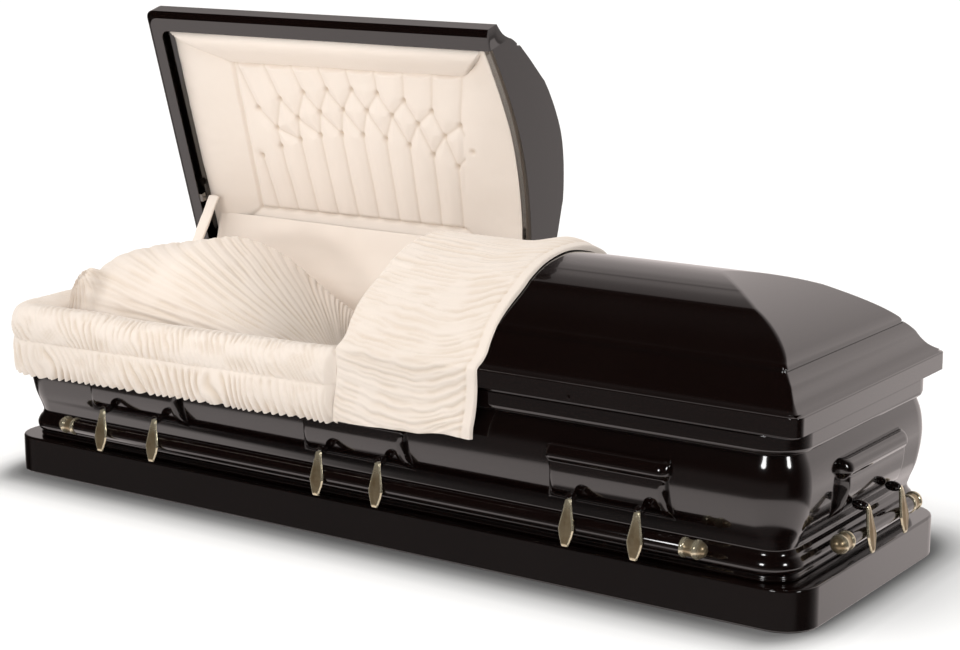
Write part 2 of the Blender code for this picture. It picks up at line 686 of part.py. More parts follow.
def build_pillow():
    columns, rows = 12, 8
    low, high = pillow_centre - PILLOW_HEAD_REACH, pillow_centre + PILLOW_FOOT_REACH
    sections = []
    for i in range(columns + 1):
        share = (1 - math.cos(math.pi * i / columns)) / 2
        x = low + (high - low) * share
        row = [(x, -pillow_half_width, bed_top + GAP)]
        for j in range(rows + 1):
            y = -pillow_half_width * math.cos(math.pi * j / rows)
            row.append((x, y, pillow_height(x, y)))
        row.append((x, pillow_half_width, bed_top + GAP))
        sections.append(row)
    mesh = loft("pillow", sections, cap_start=True, cap_end=True)
    return smooth(add_object("pillow", mesh, CREPE), 60.0)


def roll_line(out, steps_side, steps_arc, steps_end):
    """Plan line of the roll, the distance out from the top moulding's face: front, corner, head end, turn."""
    reach_x = half_lid_length - MOULDING_INSET + out
    reach_y = half_lid_width - MOULDING_INSET + out
    radius = max(BODY_CORNER - MOULDING_INSET + out, 0.006)
    start, end_x = throw_left - 0.003, -(reach_x - radius)
    side = [(start + (end_x - start) * i / steps_side, -reach_y) for i in range(steps_side)]
    arc = []
    for i in range(steps_arc):
        angle = math.radians(-90 - 90 * i / steps_arc)
        arc.append((end_x + radius * math.cos(angle), -(reach_y - radius) + radius * math.sin(angle)))
    first, last = -(reach_y - radius), reach_y - radius
    end = [(-reach_x, first + (last - first) * i / steps_end) for i in range(steps_end + 1)]
    turn = math.radians(180 - 90 / steps_arc)
    end.append((end_x + radius * math.cos(turn), last + radius * math.sin(turn)))
    return side + arc + end


def build_extendover():
    """Gathered two-tier roll that hangs over the rim of the head half, front side and head end."""
    out = ROLL_OUT
    inside = RIM_FLANGE + 0.001
    over_shell = MOULDING_INSET - BULGE_INSET + 0.0015
    over_lug = over_shell + LUG_PROUD + 0.001
    middle = 0.5 * (roll_top + roll_bottom)
    section = [(over_lug, roll_bottom, 0.0, 0.004), (out - 0.001, roll_bottom, 0.0, -0.004),
               (out, roll_bottom + 0.030, 0.004, 0.0), (out * 0.92, middle - 0.008, 0.0, 0.0),
               (out + 0.010, middle + 0.022, 0.0, 0.0), (out + 0.004, roll_top - 0.035, -0.003, 0.0),
               (out * 0.55, roll_top - 0.006, 0.0, 0.0), (-0.010, roll_top, 0.0, 0.0),
               (-inside * 0.75, roll_top - 0.004, 0.0, 0.0), (-inside - 0.020, roll_top - 0.030, 0.0, 0.0)]
    backing = [(-inside - 0.014, RIM_HEIGHT - 0.012), (-inside - 0.001, RIM_HEIGHT - 0.004),
               (-inside, RIM_HEIGHT + 0.001), (over_shell, RIM_HEIGHT + 0.001),
               (over_shell, lug_top + 0.022), (over_lug, lug_top + 0.003)]
    lines = []
    for o, z, swell, lift in section:
        plain = roll_line(o, 24, 3, 11)
        full = roll_line(o + swell, 24, 3, 11)
        line = []
        for index, ((x, y), (px, py)) in enumerate(zip(full, plain)):
            height = z - ROLL_SAG * min((throw_left - x) / (half_lid_length + throw_left), 1.0)
            line.append((x, y, height + lift) if index % 2 else (px, py, height - lift))
        lines.append(line)
    for o, z in backing:
        lines.append([(x, y, z) for x, y in roll_line(o, 24, 3, 11)])
    mesh = loft("extendover", [list(station) for station in zip(*lines)], cap_start=True, cap_end=True)
    return smooth(add_object("extendover", mesh, CREPE), 50.0)


def throw_profile():
    """Line the throw follows over the closed foot lid, front hem to back hem, as (y, z)."""
    w = half_lid_width
    over = side_profile()[4:]
    over_lug = w - BULGE_INSET + LUG_PROUD + 0.003
    front = [(-over_lug, throw_bottom), (-over_lug, lug_top + 0.004),
             (-(w + 0.0015), fascia_bottom - 0.010), (-(w + 0.0015), fascia_top - 0.004)]
    rise = 0.0012
    smooth_over = [over[0], over[2], over[4], over[6]] + over[9:]
    front_over = [(-(y + rise), z + rise) for y, z in smooth_over]
    back_over = [(y + rise, z + rise) for y, z in smooth_over[:-1][::-1]]
    back = [point for point in back_over if point[0] < w - GROOVE_INSET_SIDE + 0.010]
    return front + front_over + back


def build_throw():
    """Gathered cloth laid over the head edge of the foot lid, with soft folds across it."""
    line = throw_profile()
    outer = offset_profile(line, THROW_THICKNESS)
    stations = 8
    sections = []
    for k, ((y0, z0), (y1, z1)) in enumerate(zip(line, outer)):
        wave = 0.0022 if k % 2 else -0.0012
        dy, dz = (y1 - y0) / THROW_THICKNESS, (z1 - z0) / THROW_THICKNESS
        row = []
        for i in range(stations):
            x = throw_left + (throw_right - throw_left) * i / (stations - 1)
            fold = wave * math.sin(math.pi * i / (stations - 1))
            row.append((x, y1 + dy * fold, z1 + dz * fold))
        row.append((throw_right, y0, z0))
        row.append((throw_left, y0, z0))
        sections.append(row)
    mesh = loft("foot_throw", sections, cap_start=True, cap_end=True)
    return smooth(add_object("foot_throw", mesh, CREPE), 50.0)


def cap_depth(x, y, near, far, half_width):
    """Height of the lid lining's face: padded border, then a shallow arched panel."""
    from_edge = min(x - near, far - x, half_width - abs(y))
    share = min(max(from_edge / CAP_BORDER, 0.0), 1.0)
    ease = share * share * (3 - 2 * share)
    arch = (header_top - cap_border_z - 0.004) * math.cos(min(abs(y) / half_width, 1.0) * math.pi / 2)
    at_header = min(max((x - near) / (far - near), 0.0), 1.0)
    return cap_border_z + arch * (0.25 + 0.75 * at_header) * (0.35 + 0.65 * ease) + CAP_PUFF * ease


def build_cap_lining(name, sign, open_angle):
    """Padded lining inside a lid, modelled with the lid closed and then opened with it."""
    near = SPLIT_X * sign + LID_GAP / 2 + HEADER_FLANGE + 0.004
    far = half_lid_length - LID_BAND - CLOTH_GAP
    half_width = half_lid_width - LID_BAND - CLOTH_GAP
    top = RIM_HEIGHT + CAP_RISE
    columns, rows = 10, 8
    sections = []
    for i in range(columns + 1):
        share = i / columns
        distance = near + (far - near) * share
        row = [(sign * distance, -half_width, top)]
        for j in range(rows + 1):
            y = half_width * (2 * j / rows - 1)
            depth = cap_depth(-distance, y, -far, -near, half_width)
            row.append((sign * distance, y, min(depth, top - 0.006)))
        row.append((sign * distance, half_width, top))
        sections.append(row)
    lining = add_object(name, loft(name, sections, cap_start=True, cap_end=True), CREPE)
    hang_on_hinge(lining, open_angle)
    return smooth(lining, 60.0)


def build_support_bracket():
    """Plate on the inside of the head lid's band with an upright tab and the stay's pin."""
    band = half_lid_length - LID_BAND
    floor = RIM_HEIGHT + GAP + SHEET + GAP
    tab = -(band - CLOTH_GAP - BRACKET_SHEET - 0.002)
    low_y, high_y = strap_pivot_y - BRACKET_WIDTH / 2, strap_pivot_y + BRACKET_WIDTH / 2
    low = (-(band + BRACKET_FOOT), low_y, floor)
    plate = box_mesh("support_bracket", low, (tab, high_y, floor + BRACKET_SHEET))
    bracket = add_object("support_bracket", plate, STEEL)
    high = (tab, high_y, strap_pivot_z + STRAP_PIN * 0.8)
    upright = box_mesh("support_upright", (tab - BRACKET_SHEET, low_y, floor), high)
    boolean(bracket, cutter("support_upright", upright), "UNION")
    end = strap_x - STRAP_WIDTH / 2 - GAP
    start = tab - BRACKET_SHEET / 2
    pin_mesh = cylinder_mesh("support_pin", STRAP_PIN / 2, end - start, 8)
    pin_mesh.transform(Matrix.Translation(((end + start) / 2, strap_pivot_y, strap_pivot_z)))
    boolean(bracket, cutter("support_pin", pin_mesh), "UNION")
    return hang_on_hinge(bracket, OPEN_ANGLE)


def build_lid_strap():
    """Cloth-covered stay that props the head lid, pinned to the bracket on the lid's inner rim."""
    dy, dz = strap_pivot_y - hinge_y, strap_pivot_z - hinge_z
    cos, sin = math.cos(OPEN_ANGLE), math.sin(OPEN_ANGLE)
    pivot = (strap_x, hinge_y + dy * cos + dz * sin, hinge_z - dy * sin + dz * cos)
    low = (-STRAP_WIDTH / 2, -STRAP_THICKNESS / 2, -STRAP_LENGTH)
    high = (STRAP_WIDTH / 2, STRAP_THICKNESS / 2, 0.008)
    strap = add_object("lid_support", box_mesh("lid_support", low, high), CREPE)
    bevel = strap.modifiers.new("soft_edges", "BEVEL")
    bevel.width = 0.003
    bevel.segments = 1
    strap.location = pivot
    strap.rotation_euler = (STRAP_LEAN, 0.0, 0.0)
    return strap


def build_lock_pin():
    """Small plug in the foot lid's fascia over the lock."""
    mesh = cylinder_mesh("lock_plug", LOCK_DIAMETER / 2, LOCK_PROUD, 8, axis="Y")
    place = (SPLIT_X + LOCK_FROM_SPLIT, -(half_lid_width + GAP + LOCK_PROUD / 2), fascia_bottom + LOCK_RISE)
    mesh.transform(Matrix.Translation(place))
    return hang_on_hinge(add_object("lock_plug", mesh, PAINT), 0.0)


build_base()
build_shell()
build_top_moulding()
for lid_name, lid_sign, lid_angle in (("head", -1, OPEN_ANGLE), ("foot", 1, 0.0)):
    hang_on_hinge(build_lid(lid_name + "_lid", lid_sign), lid_angle)
    build_cap_lining(lid_name + "_lid_lining", lid_sign, lid_angle)
    for place, distance in (("inner", HINGE_INSET), ("outer", half_lid_length - HINGE_INSET)):
        build_hinge(f"{lid_name}_hinge_{place}", lid_sign * distance, lid_angle)

for side, turn in (("front", 0.0), ("back", math.pi)):
    to_head = -1 if side == "front" else 1
    for place, centre in (("head", to_head * pair_pitch), ("middle", 0.0), ("foot", -to_head * pair_pitch)):
        build_lug(f"{side}_lug_{place}", centre, turn, LUG_WIDTH, half_lid_width, PAIR_SPACING)
    pairs = (-pair_pitch, 0.0, pair_pitch)
    arm_places = [pair + arm for pair in pairs for arm in (-PAIR_SPACING / 2, PAIR_SPACING / 2)]
    build_handle(f"{side}_handle", turn, half_lid_width, 2 * (half_lid_length - SIDE_BAR_SETBACK), arm_places)
for end, turn in (("foot_end", math.pi / 2), ("head_end", -math.pi / 2)):
    build_lug(f"{end}_lug", 0.0, turn, END_LUG_WIDTH, half_lid_length, PAIR_SPACING)
    bar_length = 2 * (half_lid_width - END_BAR_SETBACK)
    build_handle(f"{end}_handle", turn, half_lid_length, bar_length, (-PAIR_SPACING / 2, PAIR_SPACING / 2))

build_body_lining()
build_bed()
build_pillow()
build_extendover()
hang_on_hinge(build_throw(), 0.0)
build_support_bracket()
build_lid_strap()
build_lock_pin()
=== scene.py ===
# %% [markdown]
# # A half couch casket with its head lid open
# The casket is pressed steel under black-brown gloss, with brass on the bars and cream crepe inside.
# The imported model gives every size: it loads first, and each finished surface below takes its place
# from one of its nodes. Steel is curved surface by formula, cloth is a formula plus gathers.

# %% Load the frame
import json
import math

import bmesh
import bpy
import numpy as np
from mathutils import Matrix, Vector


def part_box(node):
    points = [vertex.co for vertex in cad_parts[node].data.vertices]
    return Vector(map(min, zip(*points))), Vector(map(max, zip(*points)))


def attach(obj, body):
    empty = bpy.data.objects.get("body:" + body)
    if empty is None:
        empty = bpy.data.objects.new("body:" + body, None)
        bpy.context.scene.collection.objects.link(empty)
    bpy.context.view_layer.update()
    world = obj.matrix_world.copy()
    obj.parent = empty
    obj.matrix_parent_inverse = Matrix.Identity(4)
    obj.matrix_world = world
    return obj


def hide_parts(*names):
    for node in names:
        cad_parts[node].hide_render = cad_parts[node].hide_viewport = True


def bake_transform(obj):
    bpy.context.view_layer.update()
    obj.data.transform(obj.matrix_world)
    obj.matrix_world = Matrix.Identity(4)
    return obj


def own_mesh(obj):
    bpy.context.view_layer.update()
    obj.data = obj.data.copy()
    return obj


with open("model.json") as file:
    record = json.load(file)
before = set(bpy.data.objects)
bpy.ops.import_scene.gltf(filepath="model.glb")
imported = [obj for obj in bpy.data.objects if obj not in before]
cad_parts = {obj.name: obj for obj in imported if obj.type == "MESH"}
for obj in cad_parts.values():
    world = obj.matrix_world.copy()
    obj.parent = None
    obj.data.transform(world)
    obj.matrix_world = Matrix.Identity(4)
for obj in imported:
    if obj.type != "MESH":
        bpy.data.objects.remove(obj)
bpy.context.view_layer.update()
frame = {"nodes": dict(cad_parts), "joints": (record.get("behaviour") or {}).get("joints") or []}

# %% [markdown]
# ## Camera
# The photograph is taken from above the foot end with a long lens, so the casket's long lines
# hardly converge. The camera stands about five metres off and looks slightly down.

# %% Camera
CAMERA_PLACE = (2.8362, -4.0541, 1.5096)
CAMERA_YAW = math.radians(34.15)
CAMERA_PITCH = math.radians(-12.35)
CAMERA_LENS = 83.55

camera_data = bpy.data.cameras.new("camera")
camera_data.lens = CAMERA_LENS
camera_data.sensor_width = 36.0
camera_data.clip_end = 60.0
camera = bpy.data.objects.new("camera", camera_data)
camera.location = CAMERA_PLACE
camera.rotation_euler = (math.pi / 2 + CAMERA_PITCH, 0.0, CAMERA_YAW)
bpy.context.scene.collection.objects.link(camera)
bpy.context.scene.camera = camera

# %% [markdown]
# ## Sums on shader sockets
# A shader's maths reads best as Python: the class below wraps one socket, and its operators add the
# Math nodes. Every other node comes from its one method.

# %% Shader maths


class Signal:
    """One output socket of a material's node tree, which Python's operators can do sums with."""

    def __init__(self, tree, socket=None):
        self.tree = tree
        self.socket = socket

    def node(self, kind, sockets=None, output=0, stops=None, **settings):
        """Adds a node: its settings and ramp stops first, then a value or a link for each socket."""
        made = self.tree.nodes.new(kind)
        for name, value in settings.items():
            setattr(made, name, value)
        if stops:
            ramp = made.color_ramp
            while len(ramp.elements) < len(stops):
                ramp.elements.new(0.5)
            for element, (place, color) in zip(ramp.elements, stops):
                element.position = place
                element.color = color
        for name, value in (sockets or {}).items():
            if isinstance(value, Signal):
                self.tree.links.new(value.socket, made.inputs[name])
            else:
                made.inputs[name].default_value = value
        return Signal(self.tree, made.outputs[output] if made.outputs else None)

    def maths(self, operation, *values):
        """Adds a Math node that works on the values in their order."""
        return self.node("ShaderNodeMath", dict(enumerate(values)), operation=operation)

    def __add__(self, other):
        return self.maths("ADD", self, other)

    __radd__ = __add__

    def __sub__(self, other):
        return self.maths("SUBTRACT", self, other)

    def __rsub__(self, other):
        return self.maths("SUBTRACT", other, self)

    def __mul__(self, other):
        return self.maths("MULTIPLY", self, other)

    __rmul__ = __mul__


def new_finish(name, **values):
    """A material with one Principled shader, its fixed values set on the shader's own sockets."""
    material = bpy.data.materials.new(name)
    material.use_nodes = True
    shader = material.node_tree.nodes["Principled BSDF"]
    for key, value in values.items():
        shader.inputs[key.replace("_", " ")].default_value = value
    return material, shader, Signal(material.node_tree)


def plug(material, shader, name, signal):
    """Links a signal to a socket of the material's shader."""
    material.node_tree.links.new(signal.socket, shader.inputs[name])


def blend_colors(start, amount, first, second):
    """Mix node from the first colour to the second by a 0 to 1 signal."""
    return start.node("ShaderNodeMix", {0: amount, 6: first, 7: second}, output=2, data_type="RGBA")


# %% [markdown]
# ## Gloss paint
# The steel is sprayed black-brown and polished. Such paint is dark, with a clear coat that gives the
# mirror, and a trace of orange peel so that reflections waver a little. A plain black material would
# look like plastic, so the noise works on roughness and on a very shallow bump.

# %% Paint


def ebony_paint():
    """Gloss paint: a cloudy noise for colour and roughness, a fine one for the orange peel."""
    material, shader, start = new_finish(
        "ebony_gloss_paint", Roughness=0.16, IOR=1.5, Coat_Weight=1.0, Coat_Roughness=0.03, Coat_IOR=1.6)
    place = start.node("ShaderNodeTexCoord", output=3)
    cloud = start.node("ShaderNodeTexNoise", {"Vector": place, "Scale": 3.0, "Detail": 3.0, "Roughness": 0.6})
    peel = start.node("ShaderNodeTexNoise", {"Vector": place, "Scale": 150.0, "Detail": 1.0})
    plug(material, shader, "Base Color",
         blend_colors(start, cloud, (0.0030, 0.0011, 0.0008, 1), (0.0042, 0.0017, 0.0013, 1)))
    plug(material, shader, "Roughness", 0.10 + 0.09 * cloud)
    bump = start.node("ShaderNodeBump", {"Height": peel, "Strength": 0.03, "Distance": 0.0006})
    plug(material, shader, "Normal", bump)
    return material


PAINT = ebony_paint()

# %% [markdown]
# ## Brass
# Arms and tips are cast, plated and lacquered in an antique finish: pale on the high parts, olive brown where the
# toner stayed. On the arms the rounded top and the upper face are also painted paler, a painted highlight. A noise at
# two scales moves the colour and the roughness together.

# %% Brass and steel


def antique_brass():
    """Cast brass: pale where the fold attribute is high, which is the raised brass and, on the arms, a painted
    highlight; toned by a patchy noise elsewhere.
    """
    material, shader, start = new_finish("antique_brass", Metallic=0.85, Roughness=0.3)
    place = start.node("ShaderNodeTexCoord", output=3)
    high = start.node("ShaderNodeAttribute", output=2, attribute_name="fold")
    toner = start.node("ShaderNodeTexNoise",
                       {"Vector": place, "Scale": 42.0, "Detail": 4.0, "Roughness": 0.65})
    grain = start.node("ShaderNodeTexNoise", {"Vector": place, "Scale": 420.0, "Detail": 2.0})
    patch = start.node("ShaderNodeValToRGB", {"Fac": toner},
                       stops=((0.42, (0, 0, 0, 1)), (0.72, (1, 1, 1, 1))))
    light = 0.80 * high + 0.20 * (1.0 - patch)
    plug(material, shader, "Base Color",
         blend_colors(start, light, (0.29, 0.195, 0.095, 1), (0.86, 0.77, 0.56, 1)))
    plug(material, shader, "Roughness", 0.34 - 0.14 * light)
    bump = start.node("ShaderNodeBump", {"Height": grain, "Strength": 0.10, "Distance": 0.0004})
    plug(material, shader, "Normal", bump)
    return material


def plated_steel():
    """Plated steel: a noise drawn out along X stands for the brushing."""
    material, shader, start = new_finish("plated_steel", Metallic=1.0, Roughness=0.35)
    place = start.node("ShaderNodeTexCoord", output=3)
    streak = start.node("ShaderNodeMapping", {"Vector": place, "Scale": (8.0, 300.0, 300.0)})
    brush = start.node("ShaderNodeTexNoise", {"Vector": streak, "Scale": 2.0, "Detail": 3.0})
    plug(material, shader, "Base Color",
         blend_colors(start, brush, (0.30, 0.29, 0.27, 1), (0.42, 0.40, 0.37, 1)))
    plug(material, shader, "Roughness", 0.28 + 0.2 * brush)
    return material


BRASS = antique_brass()
STEEL = plated_steel()

# %% [markdown]
# ## Crepe
# The cloth is crepe, matt and slightly crinkled, warm ivory. Creases are painted darker than crests, as painted
# shade: each cloth piece carries an attribute called fold, 1 on a crest and 0 in a crease, and the finish mixes its
# two creams by it, with the darker cream in the creases.

# %% Crepe


def ivory_crepe(name, crinkle, first, second):
    """Matt cloth: the first colour on crests, the second, darker one in creases as painted shade, a crinkled and
    woven bump.
    """
    material, shader, start = new_finish(name, Roughness=0.88, Sheen_Weight=0.25, Sheen_Roughness=0.5,
                                         Specular_IOR_Level=0.2)
    fold = start.node("ShaderNodeAttribute", output=2, attribute_name="fold")
    place = start.node("ShaderNodeTexCoord", output=3)
    wrinkle = start.node("ShaderNodeTexNoise",
                         {"Vector": place, "Scale": 60.0, "Detail": 3.0, "Roughness": 0.6})
    weave = start.node("ShaderNodeTexNoise", {"Vector": place, "Scale": 900.0, "Detail": 1.0})
    shade = start.node("ShaderNodeTexNoise", {"Vector": place, "Scale": 5.0, "Detail": 2.0})
    # Painted shade: the fold attribute mixes towards the darker cream in creases; the slow noise varies the tone at
    # random.
    amount = start.maths("MULTIPLY_ADD", fold, 0.86, 0.14 * shade)
    plug(material, shader, "Base Color", blend_colors(start, amount, second, first))
    height = crinkle * wrinkle + 0.25 * weave
    bump = start.node("ShaderNodeBump", {"Height": height, "Strength": 0.35, "Distance": 0.0012})
    plug(material, shader, "Normal", bump)
    return material


# The second colour of each crepe is the painted shade of its creases.
CREPE = ivory_crepe("ivory_crepe", 1.4, (0.725, 0.645, 0.575, 1), (0.57, 0.46, 0.35, 1))
SMOOTH_CREPE = ivory_crepe("ivory_crepe_smooth", 0.35, (0.82, 0.735, 0.66, 1), (0.62, 0.515, 0.415, 1))

# %% [markdown]
# ## Surfaces
# Every new piece is a grid of points, or several grids welded along their edges. The helpers turn such
# arrays into meshes, run a curve through a few points of a profile, and carry a profile round a
# rounded rectangle.

# %% Grids to meshes


def grid_faces(rows, columns, wrap_u, wrap_v, start):
    """Quads of a grid of rows x columns points numbered from start, one array of four corners."""
    i = np.arange(rows if wrap_u else rows - 1)[:, None]
    j = np.arange(columns if wrap_v else columns - 1)[None, :]
    up, right = (i + 1) % rows, (j + 1) % columns
    quads = np.stack([i * columns + j, i * columns + right, up * columns + right, up * columns + j], -1)
    return quads.reshape(-1, 4) + start


def surface(name, grids, material, closed=False, caps=(), sharp=32.0, folds=None, flip=False):
    """Mesh object from grids (points, wrap_u, wrap_v), welded where they meet; caps close end rows."""
    points, quads, count = [], [], 0
    for grid, wrap_u, wrap_v in grids:
        rows, columns = grid.shape[:2]
        quads.append(grid_faces(rows, columns, wrap_u, wrap_v, count))
        points.append(grid.reshape(-1, 3))
        count += rows * columns
    mesh = bpy.data.meshes.new(name)
    faces = [list(map(int, face)) for face in np.concatenate(quads)]
    last = grids[-1][0].shape
    ends = {"first": list(range(last[1])), "last": list(range(count - last[1], count))}
    faces += [ends[cap] for cap in caps]
    mesh.from_pydata(np.concatenate(points), [], faces)
    # The fold attribute carries painted shade on the cloth, and on the brass the pale raised parts with a painted
    # highlight on the arms.
    if folds is not None:
        mesh.attributes.new("fold", "FLOAT", "POINT").data.foreach_set("value",
                                                                       folds.astype(np.float32).ravel())
    bm = bmesh.new()
    bm.from_mesh(mesh)
    bmesh.ops.remove_doubles(bm, verts=bm.verts, dist=2e-6)
    if closed or len(grids) > 1:
        bmesh.ops.recalc_face_normals(bm, faces=bm.faces)
    if flip:
        bmesh.ops.reverse_faces(bm, faces=bm.faces)
    bm.to_mesh(mesh)
    bm.free()
    mesh.materials.append(material)
    mesh.shade_smooth()
    mesh.set_sharp_from_angle(angle=math.radians(sharp))
    obj = bpy.data.objects.new(name, mesh)
    bpy.context.scene.collection.objects.link(obj)
    return obj


def settle(obj, body, slot, *nodes):
    """Puts a finished piece on its body, with the nodes that it stands for."""
    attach(obj, body)
    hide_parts(*nodes)
    print(obj.name, len(obj.data.polygons), "faces")
    return obj


def curve_through(points, count):
    """Catmull-Rom curve through the points: each stretch is a cubic whose slopes come from the neighbours."""
    points = np.asarray(points, float)
    padded = np.vstack([2 * points[0] - points[1], points, 2 * points[-1] - points[-2]])
    t = np.linspace(0, len(points) - 1, count)
    i = np.minimum(t.astype(int), len(points) - 2)
    f = (t - i)[:, None]
    a, b, c, d = padded[i], padded[i + 1], padded[i + 2], padded[i + 3]
    return 0.5 * (2 * b + (c - a) * f + (2 * a - 5 * b + 4 * c - d) * f ** 2
                  + (3 * b - a - 3 * c + d) * f ** 3)


def straight(a, b):
    """Straight stretch with extra points near its ends, so that shading stays flat between them."""
    share = np.array([0.0, 0.02, 0.12, 0.5, 0.88, 0.98, 1.0])[:, None]
    return np.asarray(a, float) * (1 - share) + np.asarray(b, float) * share


def arc(centre, radius, start, end, count):
    """Arc of a circle in the plane of a profile, angles in degrees."""
    angle = np.radians(np.linspace(start, end, count))
    return np.stack([centre[0] + radius * np.cos(angle), centre[1] + radius * np.sin(angle)], -1)


def outline_ring(half_length, half_width, radius, steps=9):
    """Rounded rectangles, one for each entry of the arrays: four arcs, with extra points beside each."""
    half_length, half_width, radius = (np.asarray(a, float)[:, None] for a in (half_length, half_width,
                                                                               radius))
    xs, ys = [], []
    beside = 0.004
    for sx, sy, start in ((1, -1, -90), (1, 1, 0), (-1, 1, 90), (-1, -1, 180)):
        angle = np.radians(np.linspace(start, start + 90, steps))[None, :]
        x = sx * (half_length - radius) + radius * np.cos(angle)
        y = sy * (half_width - radius) + radius * np.sin(angle)
        before = np.array([math.sin(math.radians(start)), -math.cos(math.radians(start))]) * beside
        after = np.array([-math.sin(math.radians(start + 90)), math.cos(math.radians(start + 90))]) * beside
        xs += [x[:, :1] + before[0], x, x[:, -1:] + after[0]]
        ys += [y[:, :1] + before[1], y, y[:, -1:] + after[1]]
    return np.concatenate(xs, 1), np.concatenate(ys, 1)


def carried(profile, half_length, half_width, corner):
    """Grid of a profile of (inset, height) points carried round a rounded rectangle."""
    inset, z = profile[:, 0], profile[:, 1]
    x, y = outline_ring(half_length - inset, half_width - inset, np.maximum(corner - inset, 0.005))
    return np.stack([x, y, np.repeat(z[:, None], x.shape[1], 1)], -1)


def offset(profile, distance):
    """The profile moved sideways by the distance, along the mean of its neighbouring normals."""
    step = np.gradient(profile, axis=0)
    normal = np.stack([-step[:, 1], step[:, 0]], -1)
    normal /= np.maximum(np.linalg.norm(normal, axis=1, keepdims=True), 1e-9)
    return profile + normal * distance


# %% [markdown]
# ## Cloth helpers
# Gathers aren't regular. A smooth random curve moves each fold sideways, another changes its depth,
# and the fold itself is a rounded crest with a narrow crease: the absolute value of a sine.

# %% Cloth helpers


def wander(x, y, seed):
    """Smooth random field in -1 to 1: random values on whole numbers, joined by smoothstep both ways."""
    table = np.random.RandomState(seed).rand(61, 61) * 2 - 1
    xi, yi = np.floor(x).astype(int), np.floor(y).astype(int)
    fx, fy = x - xi, y - yi
    fx, fy = fx * fx * (3 - 2 * fx), fy * fy * (3 - 2 * fy)
    corner = [table[(xi + a) % 61, (yi + b) % 61] for a, b in ((0, 0), (1, 0), (0, 1), (1, 1))]
    low = corner[0] * (1 - fx) + corner[1] * fx
    return low * (1 - fy) + (corner[2] * (1 - fx) + corner[3] * fx) * fy


def gathers(phase, sharpness=0.8):
    """Height of a gathered cloth in 0 to 1: crest at half phases, narrow crease at whole ones."""
    return np.abs(np.sin(np.pi * phase)) ** sharpness


def creases(phase, width):
    """Narrow valleys on whole phases, as 1 in the crease's bottom and 0 beside it."""
    return np.exp(-((phase - np.round(phase)) / width) ** 2)


def smoothstep(x, low, high):
    """0 below low, 1 above high, and the cubic 3 t^2 - 2 t^3 between them."""
    t = np.clip((x - low) / (high - low), 0, 1)
    return t * t * (3 - 2 * t)


def normals_of(grid):
    """Unit normals of a grid of points, from the cross product of its two directions."""
    du, dv = np.gradient(grid, axis=0), np.gradient(grid, axis=1)
    n = np.cross(du, dv)
    return n / np.maximum(np.linalg.norm(n, axis=-1, keepdims=True), 1e-12)


# %% [markdown]
# ## Sizes from the frame
# The fascia line of the closed lid is the line that the body's sections are measured from.

# %% Sizes
base_low, base_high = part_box("base_moulding")
lid_low, lid_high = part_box("foot_lid")
moulding_low, moulding_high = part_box("top_moulding")
HALF_LENGTH = lid_high.x
HALF_WIDTH = lid_high.y
BODY_CORNER = 0.095
FASCIA_CORNER = 0.022
SHEET = 0.0012
RIM = moulding_high.z
LEDGE = base_high.z
CROWN = lid_high.z
SPLIT = lid_low.x
HEAD_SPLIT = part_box("head_lid")[1].x
lid_joint = next(j for j in frame["joints"] if j["name"] == "head_lid_hinge")
HINGE_Y, HINGE_Z = lid_joint["pos_m"][1:]
OPEN = math.radians(lid_joint["range_deg"][1])


def opened(grid, angle=OPEN):
    """Turns points of the closed lid open about the hinge line."""
    y, z = grid[..., 1] - HINGE_Y, grid[..., 2] - HINGE_Z
    cos, sin = math.cos(angle), math.sin(angle)
    return np.stack([grid[..., 0], HINGE_Y + y * cos + z * sin, HINGE_Z - y * sin + z * cos], -1)


print("fascia", HALF_LENGTH, HALF_WIDTH, "rim", RIM, "crown", CROWN)

# %% [markdown]
# ## Base moulding
# The plinth is a pressed tray: plain upright faces, a small radius at the top, and a ledge that the
# body stands on. It is one profile round a rounded rectangle.

# %% Base moulding
BASE_CORNER = 0.075
LEDGE_WIDTH = 0.072


def build_base():
    """The plinth: outer face, top radius and ledge, then the same line inside, one sheet apart."""
    edge = 0.005
    outer = np.vstack([arc((0.0015, 0.0015), 0.0015, 270, 180, 4),
                       straight((0, 0.004), (0, LEDGE - edge - 0.001)),
                       arc((edge, LEDGE - edge), edge, 180, 90, 9), straight((edge + 0.002, LEDGE),
                                                                             (LEDGE_WIDTH, LEDGE))])
    inner = np.array([(LEDGE_WIDTH, LEDGE - SHEET), (edge, LEDGE - SHEET), (SHEET, LEDGE - edge),
                      (SHEET, SHEET)])
    grid = carried(np.vstack([outer, inner]), base_high.x, base_high.y, BASE_CORNER)
    piece = surface("plinth", [(grid, False, True)], PAINT, closed=True, caps=("first", "last"))
    return settle(piece, "root", "paint", "base_moulding")


build_base()

# %% [markdown]
# ## Body shell
# From the ledge up: a small bead, a torus, a waist, then the urn curve out to its widest line and back
# in to the dark seam under the top moulding. Each stretch is a smooth curve, and where two meet at an
# angle the shading stays sharp.

# %% Body shell
WAIST = 0.042
BULGE = 0.0144


def shell_profile():
    """Outer line of the shell from the ledge up, as (inset from the fascia line, height)."""
    foot = LEDGE + 0.0003
    bead = curve_through([(0.037, foot), (0.0345, foot + 0.003), (0.034, foot + 0.008),
                          (0.0365, foot + 0.012)], 10)
    torus = curve_through([(0.0368, foot + 0.0135), (0.0300, foot + 0.019), (0.0268, foot + 0.028),
                           (0.0275, foot + 0.037),
                           (0.0325, foot + 0.047), (0.0385, foot + 0.054), (0.0415, foot + 0.062)], 26)
    urn = curve_through([(0.0418, foot + 0.0645), (0.0390, foot + 0.073), (0.0345, foot + 0.086),
                         (0.0272, foot + 0.104),
                         (0.0222, foot + 0.122), (0.0172, foot + 0.150), (0.0147, foot + 0.176), (0.0146,
                                                                                                  foot + 0.192),
                         (0.0166, foot + 0.213), (0.0214, foot + 0.235), (0.0306, 0.3455)], 44)
    return np.vstack([bead, torus, urn])


